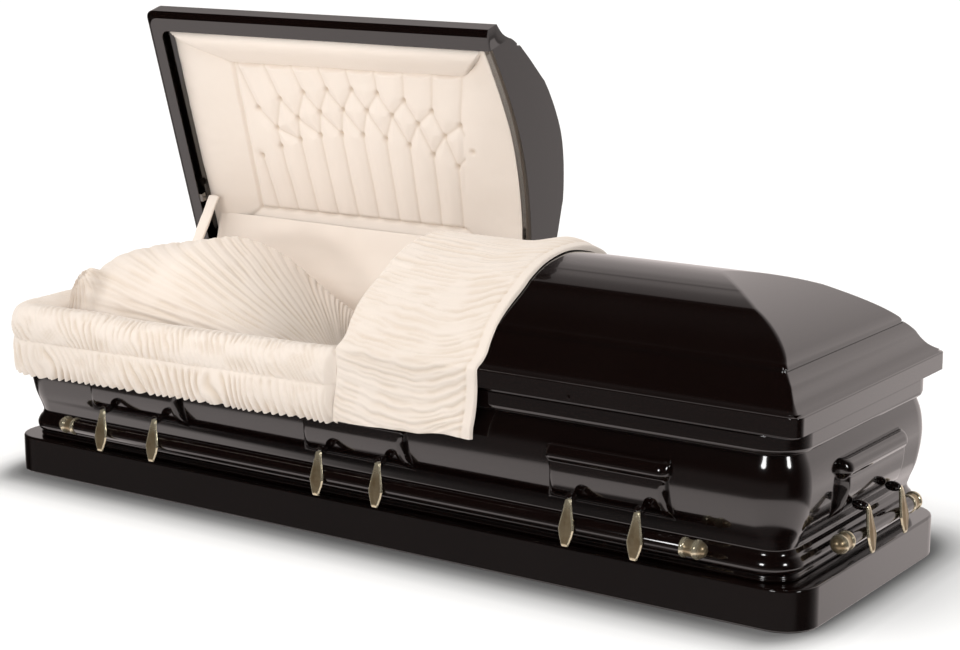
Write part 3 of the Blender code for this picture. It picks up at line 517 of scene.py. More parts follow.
def build_shell():
    """The shell: its outer line carried round, closed by the same line one sheet inside."""
    outer = shell_profile()
    inner = offset(outer, -SHEET)
    inner[[0, -1], 1] = outer[[0, -1], 1]
    grid = carried(np.vstack([outer, inner[::-1]]), HALF_LENGTH, HALF_WIDTH, BODY_CORNER)
    piece = surface("urn_shell", [(grid, True, True)], PAINT, closed=True)
    return settle(piece, "root", "paint", "body_shell")


def build_top_moulding():
    """The band over the shell: a cove out to its face, a turned edge, and the lids' flange."""
    foot = 0.3458
    outer = np.vstack([np.array([(0.0346, foot)]),
                       curve_through([(0.0306, foot + 0.0002), (0.0235, foot + 0.003),
                       (0.0188, foot + 0.007), (0.0165, foot + 0.014)], 14),
                       straight((0.0165, foot + 0.016), (0.0165, RIM - 0.004)), arc((0.0185, RIM - 0.002),
                                                                                    0.002, 180, 90, 5),
                       straight((0.020, RIM), (0.0645, RIM)), np.array([(0.0645, RIM - 0.014)])])
    inner = offset(outer, -SHEET)
    grid = carried(np.vstack([outer, inner[::-1]]), HALF_LENGTH, HALF_WIDTH, BODY_CORNER)
    piece = surface("rim_moulding", [(grid, True, True)], PAINT, closed=True)
    return settle(piece, "root", "paint", "top_moulding")


build_shell()
build_top_moulding()

# %% [markdown]
# ## Lids
# A lid rises from its flat band over the fascia and an ogee to a dark groove, then a crown with a
# sloping end. Its header plate, where the two lids meet, is cut to an arch with a turned edge. The
# profile gives each ring's distance from the middle, and a superellipse gives the sloping end.

# %% Lid profile
GROOVE_IN = 0.0765
GROOVE_END = 0.0685
GROOVE_Z = 0.5075
FASCIA_BOTTOM = 0.3985
FASCIA_TOP = 0.4365
BAND = 0.050
HIP_RUN = 0.290
HIP_POWER = 1.5
HEADER_FLANGE = 0.023
HEADER_RISE = 0.460


def lid_profile():
    """From the band's inner edge to the ridge, as (distance from the middle, height)."""
    w, seam = HALF_WIDTH, HALF_WIDTH - GROOVE_IN
    under = straight((w - BAND, RIM + 0.0003), (w - 0.0165, RIM + 0.0003))
    cove = curve_through([(w - 0.0160, RIM + 0.0006), (w - 0.010, RIM + 0.0035),
                          (w - 0.0015, FASCIA_BOTTOM - 0.0008)], 7)
    fascia = np.vstack([straight((w, FASCIA_BOTTOM), (w, FASCIA_TOP - 0.003)),
                        arc((w - 0.002, FASCIA_TOP - 0.002), 0.002, 0, 80, 5)])
    ogee = curve_through([(w - 0.0035, FASCIA_TOP + 0.0003), (w - 0.0110, FASCIA_TOP + 0.0045),
                          (w - 0.0205, FASCIA_TOP + 0.0098),
                          (w - 0.0310, FASCIA_TOP + 0.0175), (w - 0.0390, FASCIA_TOP + 0.0262), (w - 0.0468,
                                                                                                 FASCIA_TOP + 0.0370),
                          (w - 0.0535, FASCIA_TOP + 0.0480), (w - 0.0632, FASCIA_TOP + 0.0588), (w - 0.0725,
                                                                                                 GROOVE_Z - 0.0038)], 34)
    groove = curve_through([(seam + 0.0025, GROOVE_Z - 0.0042), (seam - 0.0006, GROOVE_Z - 0.0060),
                            (seam - 0.0022, GROOVE_Z - 0.0004)], 6)
    bead = curve_through([(seam - 0.0022, GROOVE_Z + 0.0002), (seam - 0.0040, GROOVE_Z + 0.0055),
                          (seam - 0.0090, GROOVE_Z + 0.0100)], 8)
    slope = curve_through([(seam - 0.0092, GROOVE_Z + 0.0101), (0.2255, 0.5470), (0.1746, 0.5790),
                           (0.1585, 0.5895), (0.1506, 0.5935),
                           (0.1240, 0.6035), (0.0975, 0.6115)], 36)
    top = curve_through([(0.0970, 0.6117), (0.0700, 0.6185), (0.0411, 0.6238), (0.0178, 0.6267),
                         (0.0, CROWN)], 18)
    return np.vstack([under, cove, fascia, ogee, groove, bead, slope, top])


def end_distance(y, z):
    """Where the end face stands at each point of the profile."""
    low = HALF_LENGTH - (HALF_WIDTH - y) * GROOVE_END / GROOVE_IN
    share = np.clip((z - GROOVE_Z) / (CROWN - GROOVE_Z), 0, 1)
    reach = 1 - (1 - share ** HIP_POWER) ** (1 / HIP_POWER)
    return np.where(z <= GROOVE_Z - 0.0003, low, HALF_LENGTH - GROOVE_END - HIP_RUN * reach)


def arch_height(y):
    """Lower edge of the header plate: a cosine between the two bands."""
    low = FASCIA_BOTTOM + 0.004
    return low + (HEADER_RISE - low) * np.cos(np.clip(np.abs(y) / (HALF_WIDTH - BAND), 0, 1) * np.pi / 2)


# %% Lid surface


def build_lid(name, node, body, sign, turn):
    """One lid: crown grid, header plate, and turned edge, welded, then thickened to the sheet."""
    split = abs(SPLIT) if sign > 0 else HEAD_SPLIT
    profile = lid_profile()
    y, z = profile[:, :1], profile[:, 1:]
    far = end_distance(y, z)
    radius = np.where(z > FASCIA_TOP + 0.004, np.minimum(0.007, 0.5 * y), FASCIA_CORNER)
    angle = np.radians(np.linspace(0, 90, 8))[None, :]
    front_x = far - radius + radius * np.sin(angle)
    front_y = -(y - radius) - radius * np.cos(angle)
    beside = np.minimum(0.004, 0.3 * y)
    near, inner = np.full_like(y, abs(split)), 0 * y
    xs = np.hstack([near, near + 0.004, far - radius - beside, front_x, far, far, far, front_x[:, ::-1],
                    far - radius - beside, near + 0.004, near])
    side = np.maximum(y - radius - beside, 0)
    ys = np.hstack([-y, -y, -y, front_y, -side, inner, side, -front_y[:, ::-1], y, y, y])
    crown = np.stack([sign * xs, ys, np.repeat(z, xs.shape[1], 1)], -1)
    edge = np.vstack([crown[:, 0], crown[-2::-1, -1]])
    reach = HALF_WIDTH - BAND
    arch_y = np.clip(edge[:, 1], -reach, reach)
    arch = np.stack([np.full_like(arch_y, split), arch_y, arch_height(arch_y)], -1)
    header = np.stack([edge, arch], 0)
    turned = np.stack([arch, arch + [sign * HEADER_FLANGE, 0, 0]], 0)
    grids = [(grid if turn == 0 else opened(grid), False, False) for grid in (crown, header, turned)]
    piece = surface(name, grids, PAINT, sharp=26.0)
    sheet = piece.modifiers.new("sheet", "SOLIDIFY")
    sheet.thickness = SHEET
    sheet.offset = -1.0
    return settle(piece, body, "paint", node)


build_lid("foot_lid_crown", "foot_lid", "foot_lid", 1, 0)
build_lid("head_lid_crown", "head_lid", "head_lid", -1, 1)

# %% [markdown]
# ## Lugs
# Each pair of arms hangs from a panel that swells out of the shell: a rounded top roll, a shallow
# face, and ends that curve back to the wall. Across, the swelling is a superellipse.

# %% Lugs
LUG_TOP, LUG_FOOT, LUG_PROUD = 0.308, 0.182, 0.023
PAIR_SPACING = 0.160
PIVOT_HEIGHT = 0.198
PIVOT_OUT = 0.0185
EAR_OUT, EAR_REACH, EAR_HALF = 0.0100, 0.0175, (0.0100, 0.0105)
SIDE_LUG, END_LUG = (0.292, -0.012), (0.304, 0.012)


def wall_at(z):
    """Inset of the shell's face at a height, read from its own profile."""
    profile = shell_profile()
    order = np.argsort(profile[:, 1])
    return np.interp(z, profile[order, 1], profile[order, 0])


def side_frame(side):
    """Turn about Z and fascia distance of a side of the casket; its own -Y looks outwards."""
    return {"front": (0.0, HALF_WIDTH), "back": (math.pi, HALF_WIDTH),
            "foot_end": (math.pi / 2, HALF_LENGTH), "head_end": (-math.pi / 2, HALF_LENGTH)}[side]


def turned_to(side, grid):
    """Turns points made for the front side to another side."""
    turn = side_frame(side)[0]
    cos, sin = math.cos(turn), math.sin(turn)
    return np.stack([grid[..., 0] * cos - grid[..., 1] * sin, grid[..., 0] * sin + grid[..., 1] * cos,
                     grid[..., 2]], -1)


def local_x(side, node):
    """Middle of a node along its own side of the casket."""
    low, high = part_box(node)
    turn = side_frame(side)[0]
    return ((low.x + high.x) * math.cos(turn) + (low.y + high.y) * math.sin(turn)) / 2


def ear_grid(x, line):
    """Barrel of an ear over an arm's pivot: rings whose radius is a power of a sine along the ear."""
    around_it = np.linspace(0, 2 * np.pi, 24, endpoint=False)[None, :]
    over = np.linspace(0.04, np.pi - 0.04, 15)[:, None]
    y = -(line + EAR_OUT) - EAR_REACH * np.cos(over)
    bulge = np.sin(over) ** 0.8
    return np.stack([x - 0.0030 + EAR_HALF[0] * bulge * np.cos(around_it), y + 0 * around_it,
                     PIVOT_HEIGHT + 0.0055 + EAR_HALF[1] * bulge * np.sin(around_it)], -1)


def build_lug(side, node, width, aside):
    """Height field over the shell: a profile down the face, and at each height its own width and end radius."""
    line = side_frame(side)[1]
    face = curve_through([(0.0, LUG_TOP), (0.36, LUG_TOP - 0.0010), (0.68, LUG_TOP - 0.0050),
                          (0.90, LUG_TOP - 0.0120),
                          (1.0, LUG_TOP - 0.0205), (0.98, LUG_TOP - 0.0280), (0.86, LUG_TOP - 0.0340)], 24)
    lower = curve_through([(0.845, LUG_TOP - 0.0346), (0.720, LUG_TOP - 0.0375), (0.745, LUG_TOP - 0.0450),
                           (0.770, LUG_TOP - 0.0620), (0.740, LUG_TOP - 0.0850), (0.620, LUG_FOOT + 0.0210),
                           (0.400, LUG_FOOT + 0.0090), (0.200, LUG_FOOT + 0.0030), (0.0, LUG_FOOT)], 32)
    face = np.vstack([face, lower])
    z = face[:, 1:]
    drop = LUG_TOP - z
    half = width / 2 * np.interp(drop, [0, 0.008, 0.020, 0.030, 0.042, 0.060, 0.095, 0.126],
                                 [0.950, 0.985, 1.0, 0.990, 0.945, 0.938, 0.965, 1.03])
    nose = np.interp(drop, [0, 0.020, 0.032, 0.045, 0.095, 0.126], [0.024, 0.024, 0.021, 0.012, 0.018, 0.030])
    share = np.linspace(-1, 1, 49)[None, :]
    spread = np.sign(share) * (1 - (1 - np.abs(share)) ** 1.9)
    past = np.clip((np.abs(spread) * half - (half - nose)) / nose, 0, 1)
    proud = 0.0004 + LUG_PROUD * face[:, :1] * np.sqrt(np.clip(1 - past ** 2.2, 0, 1))
    x = local_x(side, node) + aside + spread * half
    wall = -(line - wall_at(z))
    front = np.stack([x, wall - proud, z + 0 * x], -1)
    back = np.stack([x, wall - 0.0002 + 0 * x, z + 0 * x], -1)
    rims = [np.stack([front[0], back[0]]), np.stack([front[-1], back[-1]]),
            np.stack([front[:, 0], back[:, 0]]), np.stack([front[:, -1], back[:, -1]])]
    grids = [(turned_to(side, grid), False, False) for grid in [front, back] + rims]
    piece = surface(node + "_panel", grids, PAINT, closed=True, sharp=50.0)
    settle(piece, "root", "paint", node)
    ears = [turned_to(side, ear_grid(local_x(side, node) + place, line)) for place in (-PAIR_SPACING / 2,
                                                                                       PAIR_SPACING / 2)]
    for number, grid in enumerate(ears):
        ear = surface(f"{node}_ear_{number + 1}", [(grid, False, True)], PAINT, closed=True,
                      caps=("first", "last"))
        settle(ear, "root", "paint")


LUGS = [("front", f"front_lug_{place}") for place in ("head", "middle", "foot")]
LUGS += [("back", f"back_lug_{place}") for place in ("head", "middle", "foot")]
LUGS += [("foot_end", "foot_end_lug"), ("head_end", "head_end_lug")]
for lug_side, lug_node in LUGS:
    build_lug(lug_side, lug_node, *(END_LUG if "end" in lug_side else SIDE_LUG))

# %% [markdown]
# ## Handles
# A bar is a plain tube. An arm is a cast leaf: narrow at the pivot, widest below its middle, with a
# soft ridge down its face. A tip is turned: collar, neck, ring and a rounded end.

# %% Handle bars and tips


def turned_part(x, r, sides, twist=0.0):
    """Grid of a profile (distance along, radius) turned about the X axis."""
    angle = np.linspace(0, 2 * np.pi, sides, endpoint=False)[None, :] + twist
    x, r = np.asarray(x)[:, None], np.asarray(r)[:, None]
    return np.stack([x + 0 * angle, r * np.cos(angle), r * np.sin(angle)], -1)


def build_bar(side):
    """A tube along its side, with ends that close in a small chamfer."""
    low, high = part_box(f"{side}_handle_bar")
    centre = np.array((low + high) / 2)
    size = high - low
    length, radius = max(size.x, size.y), size.z / 2
    x = np.array([-0.5, -0.5, -0.499, -0.25, 0, 0.25, 0.499, 0.5, 0.5]) * length
    r = np.array([0.0, 0.96, 1, 1, 1, 1, 1, 0.96, 0]) * radius
    grid = turned_part(x, r, 40)
    if size.y > size.x:
        grid = grid[..., [1, 0, 2]]
    piece = surface(f"{side}_bar_tube", [(grid + centre, False, True)], PAINT, closed=True, sharp=60.0)
    return settle(piece, f"{side}_handle", "paint", f"{side}_handle_bar")


def build_tip(side, label):
    """Turned cap: its profile starts at the bar and closes in a rounded end."""
    node = f"{side}_handle_tip_{label}"
    low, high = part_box(node)
    bar_low, bar_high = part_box(f"{side}_handle_bar")
    along = 0 if bar_high.x - bar_low.x > bar_high.y - bar_low.y else 1
    length, radius = high[along] - low[along], (high.z - low.z) / 2
    outwards = 1.0 if low[along] > (bar_low[along] + bar_high[along]) / 2 else -1.0
    collar = arc((0.085, 0.0), 0.085, 180, 0, 9)
    x = np.concatenate([[0.0], collar[:, 0], [0.19, 0.22, 0.30, 0.42, 0.50, 0.53],
                        0.60 + 0.10 * np.linspace(-0.6, 1, 7),
                        [0.74, 0.84, 0.93, 0.985, 1.0]]) * 1.18 - 0.18
    ring = np.sqrt(np.clip(1 - np.linspace(-0.9, 0.9, 7) ** 2, 0, 1))
    r = np.concatenate([[0.0], 0.90 + 0.10 * collar[:, 1] / 0.085, [0.86, 0.84, 0.83, 0.84, 0.87, 0.90],
                        0.90 + 0.10 * ring,
                        [0.88, 0.74, 0.55, 0.30, 0.0]])
    grid = turned_part(x * length * outwards, r * radius, 36)
    if along:
        grid = grid[..., [1, 0, 2]]
    start = low[along] if outwards > 0 else high[along]
    centre = np.array((low + high) / 2)
    centre[along] = start
    shine = np.repeat(np.clip((r - 0.83) / 0.08, 0.15, 1.0)[:, None], 36, 1)
    piece = surface(node + "_cap", [(grid + centre, False, True)], BRASS, closed=True, sharp=40.0,
                    folds=shine)
    return settle(piece, f"{side}_handle", "brass", node)


def build_arm(side, node):
    """Leaf-shaped arm: a sunk face with a soft ridge inside a bevelled rim, under a narrow rounded top."""
    low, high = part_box(node)
    line = side_frame(side)[1]
    height = high.z - low.z
    pivot_y = -(line + PIVOT_OUT)
    t = np.linspace(0, 1, 46)
    half = np.interp(t, [0, 0.03, 0.08, 0.30, 0.50, 0.64, 0.80, 0.95, 1.0],
                     [0.0045, 0.0068, 0.0078, 0.0122, 0.0165, 0.0185, 0.0150, 0.0098, 0.0080])
    deep = np.interp(t, [0, 0.04, 0.12, 0.30, 0.64, 0.95, 1.0],
                     [0.0016, 0.0042, 0.0052, 0.0054, 0.0064, 0.0048, 0.0030])
    across = np.concatenate([np.linspace(-1, 1, 33), np.linspace(1, -1, 9)[1:-1]])
    frame_share = np.clip((0.0036 / half)[:, None], 0, 0.6)
    inside = smoothstep(1 - np.abs(across)[None, :], frame_share * 0.95, frame_share * 1.25)
    inside = inside * smoothstep(t[:, None], 0.05, 0.12) * (1 - smoothstep(t[:, None], 0.945, 0.965))
    bevel = np.clip((1 - np.abs(across)[None, :]) / (frame_share * 0.62), 0, 1) ** 0.8
    cap = 1 - smoothstep(t[:, None], 0.03, 0.09)
    rounded = np.sqrt(np.clip(1 - (np.abs(across)[None, :] * 0.98) ** 2.4, 0, 1))
    ridge = 0.30 * inside * (1 - np.abs(across)[None, :]) ** 1.3
    profile = cap * rounded + (1 - cap) * (0.30 + 0.60 * bevel - 0.16 * inside + ridge)
    facing = (np.arange(len(across)) < 33)[None, :]
    outward = np.where(facing, profile, -0.35)
    z = high.z - t * height
    tilt = math.radians(8.0)
    mid = pivot_y - 0.0068 - (high.z - z - 0.008) * math.tan(tilt)
    x = local_x(side, node) + half[:, None] * across[None, :]
    y = mid[:, None] - deep[:, None] * outward
    grid = np.stack([x, y, np.repeat(z[:, None], len(across), 1)], -1)
    # Painted highlight: the rounded top and the upper part of the sunk face are paler, as if lit from above; the pale
    # bevelled rim is the antique finish on raised brass.
    glow = 0.10 + 0.60 * (1 - smoothstep(t[:, None], 0.05, 0.40))
    shine = np.where(facing, np.maximum(cap, 1 - inside * (1 - glow)), 0.3) * np.ones_like(x)
    piece = surface(node + "_leaf", [(turned_to(side, grid), False, True)], BRASS, closed=True,
                    caps=("first", "last"), sharp=40.0, folds=shine)
    return settle(piece, f"{side}_handle", "brass", node)


for handle_side, arm_count in (("front", 6), ("back", 6), ("foot_end", 2), ("head_end", 2)):
    build_bar(handle_side)
    for tip_label in ("left", "right"):
        build_tip(handle_side, tip_label)
    for arm_number in range(1, arm_count + 1):
        build_arm(handle_side, f"{handle_side}_handle_arm_{arm_number}")

# %% [markdown]
# ## Small metal parts
# The hinges, the support's bracket and the lock plug keep their own solids and only get a finish.

# %% Finish of the kept nodes


def finish_node(name, material):
    """Gives a node of the frame one material."""
    mesh = frame["nodes"][name].data
    mesh.materials.clear()
    mesh.materials.append(material)


for node_name in frame["nodes"]:
    if "leaf" in node_name or "bracket" in node_name:
        finish_node(node_name, STEEL)
    elif "plug" in node_name:
        finish_node(node_name, PAINT)

# %% [markdown]
# ## Extendover
# The gathered roll that covers the rim of the head half. It is two tiers of cloth over a filling, sewn
# together along a pinched line, with the lower tier's hem hanging free. A closed section is carried
# along the rim, and the gathers push it out along its own normals. Creases start and end at random, as
# in shirred crepe: a single regular wave would look like a sea shell.

# %% Extendover
roll_low, roll_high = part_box("extendover")
ROLL_START = roll_high.x + 0.014
MOULDING_FACE = 0.0165
ROLL_SAG = 0.018


def rim_path(s, out):
    """Points at the distance s along the head half's rim, each moved out by its own amount."""
    wx, wy = HALF_LENGTH - MOULDING_FACE, HALF_WIDTH - MOULDING_FACE
    corner = BODY_CORNER - MOULDING_FACE
    front = ROLL_START + wx - corner
    bend = corner * np.pi / 2
    side = 2 * (wy - corner)
    radius = np.maximum(corner + out, 0.004)
    angle = np.clip((s - front) / corner, 0, np.pi / 2) + np.clip((s - front - bend - side) / corner, 0,
                                                                  np.pi / 2)
    x = -(wx - corner) - radius * np.sin(angle) + np.clip(front - s, 0, None)
    y = -(wy - corner) - radius * np.cos(angle) + np.clip(s - front - bend, 0, side)
    return x, y


def roll_section():
    """Closed section of the roll as (out, height): inner side, top and upper tier, lower tier."""
    inside = curve_through([(-0.0500, 0.3905), (-0.0600, 0.3985), (-0.0600, 0.4090), (-0.0480, 0.4190),
                            (-0.0290, 0.4265)], 12)
    over = curve_through([(-0.0280, 0.4267), (-0.0080, 0.4300), (0.0120, 0.4292), (0.0290, 0.4195),
                          (0.0385, 0.4020),
                          (0.0420, 0.3820), (0.0405, 0.3640), (0.0375, 0.3540)], 27)
    lower = curve_through([(0.0378, 0.3535), (0.0405, 0.3430), (0.0428, 0.3240), (0.0425, 0.3030),
                           (0.0400, 0.2850),
                           (0.0355, 0.2705)], 26)
    return inside, over, lower


def build_extendover():
    """The roll: its section pushed out along its normals by the gathers, less at every crease."""
    turn = BODY_CORNER - MOULDING_FACE
    total = (ROLL_START + HALF_LENGTH - MOULDING_FACE) + 2 * (HALF_WIDTH - MOULDING_FACE) - turn * (3
                                                                                                    - np.pi / 2)
    s = np.linspace(0, total, 1180)[:, None]
    inside, over, lower = roll_section()
    section = np.vstack([inside, over, lower])
    column = np.arange(len(section))[None, :]
    run = np.concatenate([[0], np.cumsum(np.linalg.norm(np.diff(section, axis=0), axis=1))])[None, :]
    seam, last = len(inside) + len(over), len(section) - 1
    upper = smoothstep(column, 6, 18) * (1 - smoothstep(column, seam - 3, seam))
    hang = smoothstep(column, seam, seam + 8)
    warp = 0.60 * wander(s / 0.06, run / 0.05, 3) + 0.9 * wander(s / 0.21, run / 0.09, 4)
    wide = (s + 0.42 * run) / 0.0185 + warp + 0.25 * wander(s / 0.02, run / 0.03, 5)
    fine = (s + 0.50 * run) / 0.0112 + warp * 1.5 + 20
    low = (s + 0.34 * run) / 0.0235 + 0.9 * wander(s / 0.075, run / 0.08, 6) + 0.8 * wander(s / 0.25,
                                                                                            0 * run, 7)
    show_wide = smoothstep(wander(s / 0.040, run / 0.035, 8), -0.55, 0.35)
    show_fine = smoothstep(wander(s / 0.035, run / 0.028, 9), -0.15, 0.55)
    tuck = 0.9 * upper * np.maximum(show_wide * creases(wide, 0.17), 0.7 * show_fine * creases(fine, 0.26))
    pull = hang * creases(low,
                          0.20) * (0.25 + 0.75 * smoothstep(wander(s / 0.045, run / 0.045, 10), -0.5, 0.4))
    pull = np.maximum(pull, 0.6 * hang * show_fine * creases(fine, 0.30))
    pinch = np.exp(-((column - seam + 1 - 1.6 * wander(s / 0.05, 0 * run, 14)) / 1.8) ** 2)
    pinch = pinch * (0.35 + 0.45 * wander(s / 0.03, 0 * run, 11))
    swell = -0.0036 * tuck - 0.0044 * pull - 0.0016 * pinch
    swell = swell + 0.0018 * upper * (gathers(wide) - 0.5) + 0.0020 * hang * (gathers(low) - 0.5)
    swell = swell + 0.0042 * wander(s / 0.15, run / 0.08, 12) * smoothstep(column, 2, 12)
    skirt = smoothstep(column, seam + 6, last)
    swell = swell + 0.0030 * skirt * (gathers(low, 1.2) - 0.5)
    hem = skirt ** 3 * (0.0024 * (gathers(low, 1.4) - 0.4) + 0.003 * wander(s / 0.11, 0 * run, 13))
    tucked = 1 - 0.45 * (1 - smoothstep(s, 0.0, 0.024))
    sag = ROLL_SAG * np.clip(s / (HALF_LENGTH + ROLL_START), 0, 1)
    normal = np.gradient(section, axis=0)
    normal = np.stack([normal[:, 1], -normal[:, 0]], -1)
    normal /= np.linalg.norm(normal, axis=1, keepdims=True)
    normal *= np.sign(normal[seam, 0])
    reach = section[None, :, 0] + normal[None, :, 0] * swell
    x, y = rim_path(s, np.where(reach > 0, reach * tucked, reach))
    z = section[None, :, 1] + normal[None, :, 1] * swell - sag - hem
    outer = np.stack([x, y, z], -1)
    back_out = np.array([0.0305, 0.0300, 0.0290, 0.0090, 0.0045, 0.0040, -0.0480])
    back_z = np.array([0.2740, 0.2900, 0.3110, 0.3300, 0.3500, 0.3895, 0.3897])
    bx, by = rim_path(s, np.where(back_out > 0, back_out * (0.25 + 0.75 * tucked), back_out))
    back = np.stack([bx, by, np.repeat(back_z[None, :], len(s), 0) - sag * (back_z[None, :] < 0.3)], -1)
    # Painted shade: the cloth's colour darkens in the tucks, in the pulled creases and along the pinched seam.
    fold = 1 - 0.65 * tuck - 0.65 * pull - 0.2 * pinch
    fold = np.concatenate([fold, np.ones((len(s), 7))], 1)
    piece = surface("gathered_extendover", [(np.concatenate([outer, back], 1), False, True)], CREPE,
                    closed=True,
                    caps=("first", "last"), sharp=80.0, folds=np.clip(fold, 0, 1))
    settle(piece, "root", "crepe", "extendover")
    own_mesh(piece)
    return piece


build_extendover()

# %% [markdown]
# ## Pillow
# A full mound at the head with a long slope towards the middle. The shirring lines all run to one
# point low in front of it, so a fold's number is the angle round that point.

# %% Pillow
bed_low, bed_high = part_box("bed")
pillow_low, pillow_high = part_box("pillow")
HEAD_REACH, FOOT_REACH = 0.280, 0.420
SHIRR_POINT = np.array((-0.262, -0.050, 0.285))
FAN_AXIS = math.radians(34.0)
FAN_LEAN = math.radians(12.0)


def pillow_height(x, y):
    """Height of the plain pillow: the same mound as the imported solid, fuller in its two head corners."""
    centre = pillow_low.x + HEAD_REACH
    head, foot = np.clip((centre - x) / HEAD_REACH, 0, 1), np.clip((x - centre) / FOOT_REACH, 0, 1)
    along = np.where(x < centre, (1 - 0.20 * head) * np.sqrt(1 - head ** 20), (1 - foot ** 1.8) ** 1.1)
    power = 2.6 - 0.9 * np.where(y > 0, smoothstep(foot, 0.1, 0.6), 0)
    across = np.sqrt(np.clip(1 - np.abs(y / pillow_high.y) ** power, 0, 1))
    corner = np.exp(-((x + 0.925) / 0.050) ** 4 - ((np.abs(y) - 0.224) / 0.040) ** 2)
    edge = bed_high.z + 0.035
    return edge + (pillow_high.z - edge) * along * across + 0.066 * corner * np.sqrt(1 - head ** 40)


def fan_angle(points):
    """Angle and distance of points about a level-leaning line through the shirring point."""
    rest = points - SHIRR_POINT
    side = np.array((math.cos(FAN_AXIS), math.sin(FAN_AXIS), 0))
    up = np.array((-math.sin(FAN_AXIS) * math.sin(FAN_LEAN), math.cos(FAN_AXIS) * math.sin(FAN_LEAN),
                   math.cos(FAN_LEAN)))
    left, over = -(rest @ side), rest @ up
    return np.arctan2(over, left), np.hypot(left, over)


def build_pillow():
    """The mound, pushed in along its normals where a fold's angle round the shirring point is a crease."""
    u = np.linspace(0, 1, 360)
    v = np.linspace(-1, 1, 236)
    x = pillow_low.x + (pillow_high.x - pillow_low.x) * (0.45 * u + 0.55 * (1 - np.cos(np.pi * u)) / 2)[:,
                                                                                                        None]
    y = pillow_high.y * (0.35 * v + 0.65 * np.sin(np.pi / 2 * v))[None, :]
    x, y = np.broadcast_arrays(x, y)
    plain = np.stack([x, y, pillow_height(x, y)], -1)
    normal = normals_of(plain)
    normal *= np.sign(normal[..., 2:])
    angle, reach = fan_angle(plain)
    warp = 0.30 * wander(angle * 4 + 9, reach / 0.20 + 3, 21) + 0.16 * wander(angle * 11 + 9,
                                                                              reach / 0.07 + 3, 22)
    wide = 19 * angle + warp + 60
    fine = 2 * wide + 0.5 + 0.4 * wander(angle * 7 + 9, reach / 0.1 + 3, 25)
    far = smoothstep(reach, 0.16, 0.34)
    shown = smoothstep(wander(angle * 9 + 9, reach / 0.12 + 3, 23), -0.9, -0.2)
    broken = 0.35 + 0.65 * smoothstep(wander(angle * 14 + 9, reach / 0.05 + 3, 28), -0.6, 0.4)
    tuck = broken * smoothstep(reach, 0.01, 0.10) * np.maximum(shown * creases(wide, 0.17),
                                                               0.7 * far * creases(fine, 0.24))
    ruffle = np.exp(-((x + 0.935) / 0.05) ** 2 - ((np.abs(y) - 0.222) / 0.045) ** 2)
    around_it = np.arctan2(np.abs(y) - 0.222, x + 0.935)
    bunch = ruffle * creases(around_it * 3.2 + 0.5 * wander(x / 0.02 + 60, y / 0.02 + 40, 26), 0.3)
    swell = -0.0026 * tuck + 0.0016 * (gathers(wide) - 0.5) + 0.003 * wander(x / 0.13 + 9, y / 0.11 + 9, 24)
    swell = swell * (1 - ruffle) - 0.008 * bunch + 0.006 * ruffle * wander(x / 0.025 + 60, y / 0.02 + 40, 27)
    edge = smoothstep(1 - np.abs(y) / pillow_high.y, 0, 0.02) * smoothstep(u, 0, 0.02)[:, None]
    top = plain + normal * (swell * edge)[..., None]
    skirt = top.copy()
    skirt[..., 2] = bed_high.z + 0.0006
    rims = [np.stack([top[0], skirt[0]]), np.stack([top[-1], skirt[-1]]),
            np.stack([top[:, 0], skirt[:, 0]]), np.stack([top[:, -1], skirt[:, -1]])]
    grids = [(top, False, False)] + [(rim, False, False) for rim in rims]
    # Painted shade: creases darken, more strongly near the shirring point, and the bunched head corners darken too.
    crease_shade_depth = 0.45 + 0.5 * (1 - smoothstep(reach, 0.10, 0.32))
    fold = np.concatenate([(1 - crease_shade_depth * tuck).ravel() - 0.4 * bunch.ravel(),
                           np.ones(sum(rim.shape[0] * rim.shape[1] for rim in rims))])
    piece = surface("shirred_pillow", grids, CREPE, sharp=80.0, folds=np.clip(fold, 0, 1))
    settle(piece, "root", "crepe", "pillow")
    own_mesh(piece)
    return piece


build_pillow()

# %% [markdown]
# ## Linings of the lids
# Four padded borders, mitred at the corners, frame a tufted panel. A point's share of its border comes
# from its distances to the outer and the inner line of each side, and the least of the four shares
# gives the mitres by itself. Tufts and pleats are one network of line segments, and each point sinks by
# its distance to the nearest segment.

# %% Linings of the lids
CARD = RIM + 0.056
DEEPEST = RIM + 0.076
BOARD = RIM + 0.081
CLEAR = 0.0012
LINING_START = 0.035
PANEL = ((-0.840, -0.207), (-0.134, -0.214), (-0.205, 0.187), (-0.846, 0.192))


def segment_distance(x, y, segments):
    """Distance from each point to the nearest of the segments, given as rows of x0, y0, x1, y1."""
    nearest = np.full(x.shape, 9.0)
    for x0, y0, x1, y1 in segments:
        dx, dy = x1 - x0, y1 - y0
        t = np.clip(((x - x0) * dx + (y - y0) * dy) / (dx * dx + dy * dy), 0, 1)
        nearest = np.minimum(nearest, np.hypot(x - x0 - t * dx, y - y0 - t * dy))
    return nearest


def tufting():
    """Tufts in three bowed rows, pleats down to them, diamonds between, and pleats down from them."""
    a = [(x, -0.158 + 0.73 * (x + 0.48) ** 2) for x in np.linspace(-0.789, -0.168, 9)]
    b = [(x, -0.105 + 0.85 * (x + 0.46) ** 2) for x in np.linspace(-0.742, -0.145, 9)]
    c = [(x, -0.039 + 0.76 * (x + 0.48) ** 2) for x in np.linspace(-0.808, -0.196, 10)]
    above = [(x, -0.209) for x in np.linspace(-0.830, -0.140, 9)]
    below = [(x, 0.187) for x in np.linspace(-0.790, -0.212, 10)]
    segments = [p + q for p, q in zip(above, a)] + [p + q for p, q in zip(a, b)] + [p + q for p,
                                                                                    q in zip(b, a[1:])]
    segments += [p + q for p, q in zip(b, c[1:])] + [p + q for p, q in zip(b[:-1], c[2:])] + [p + q for p,
                                                                                              q in zip(c, below)]
    return a + b + c, segments


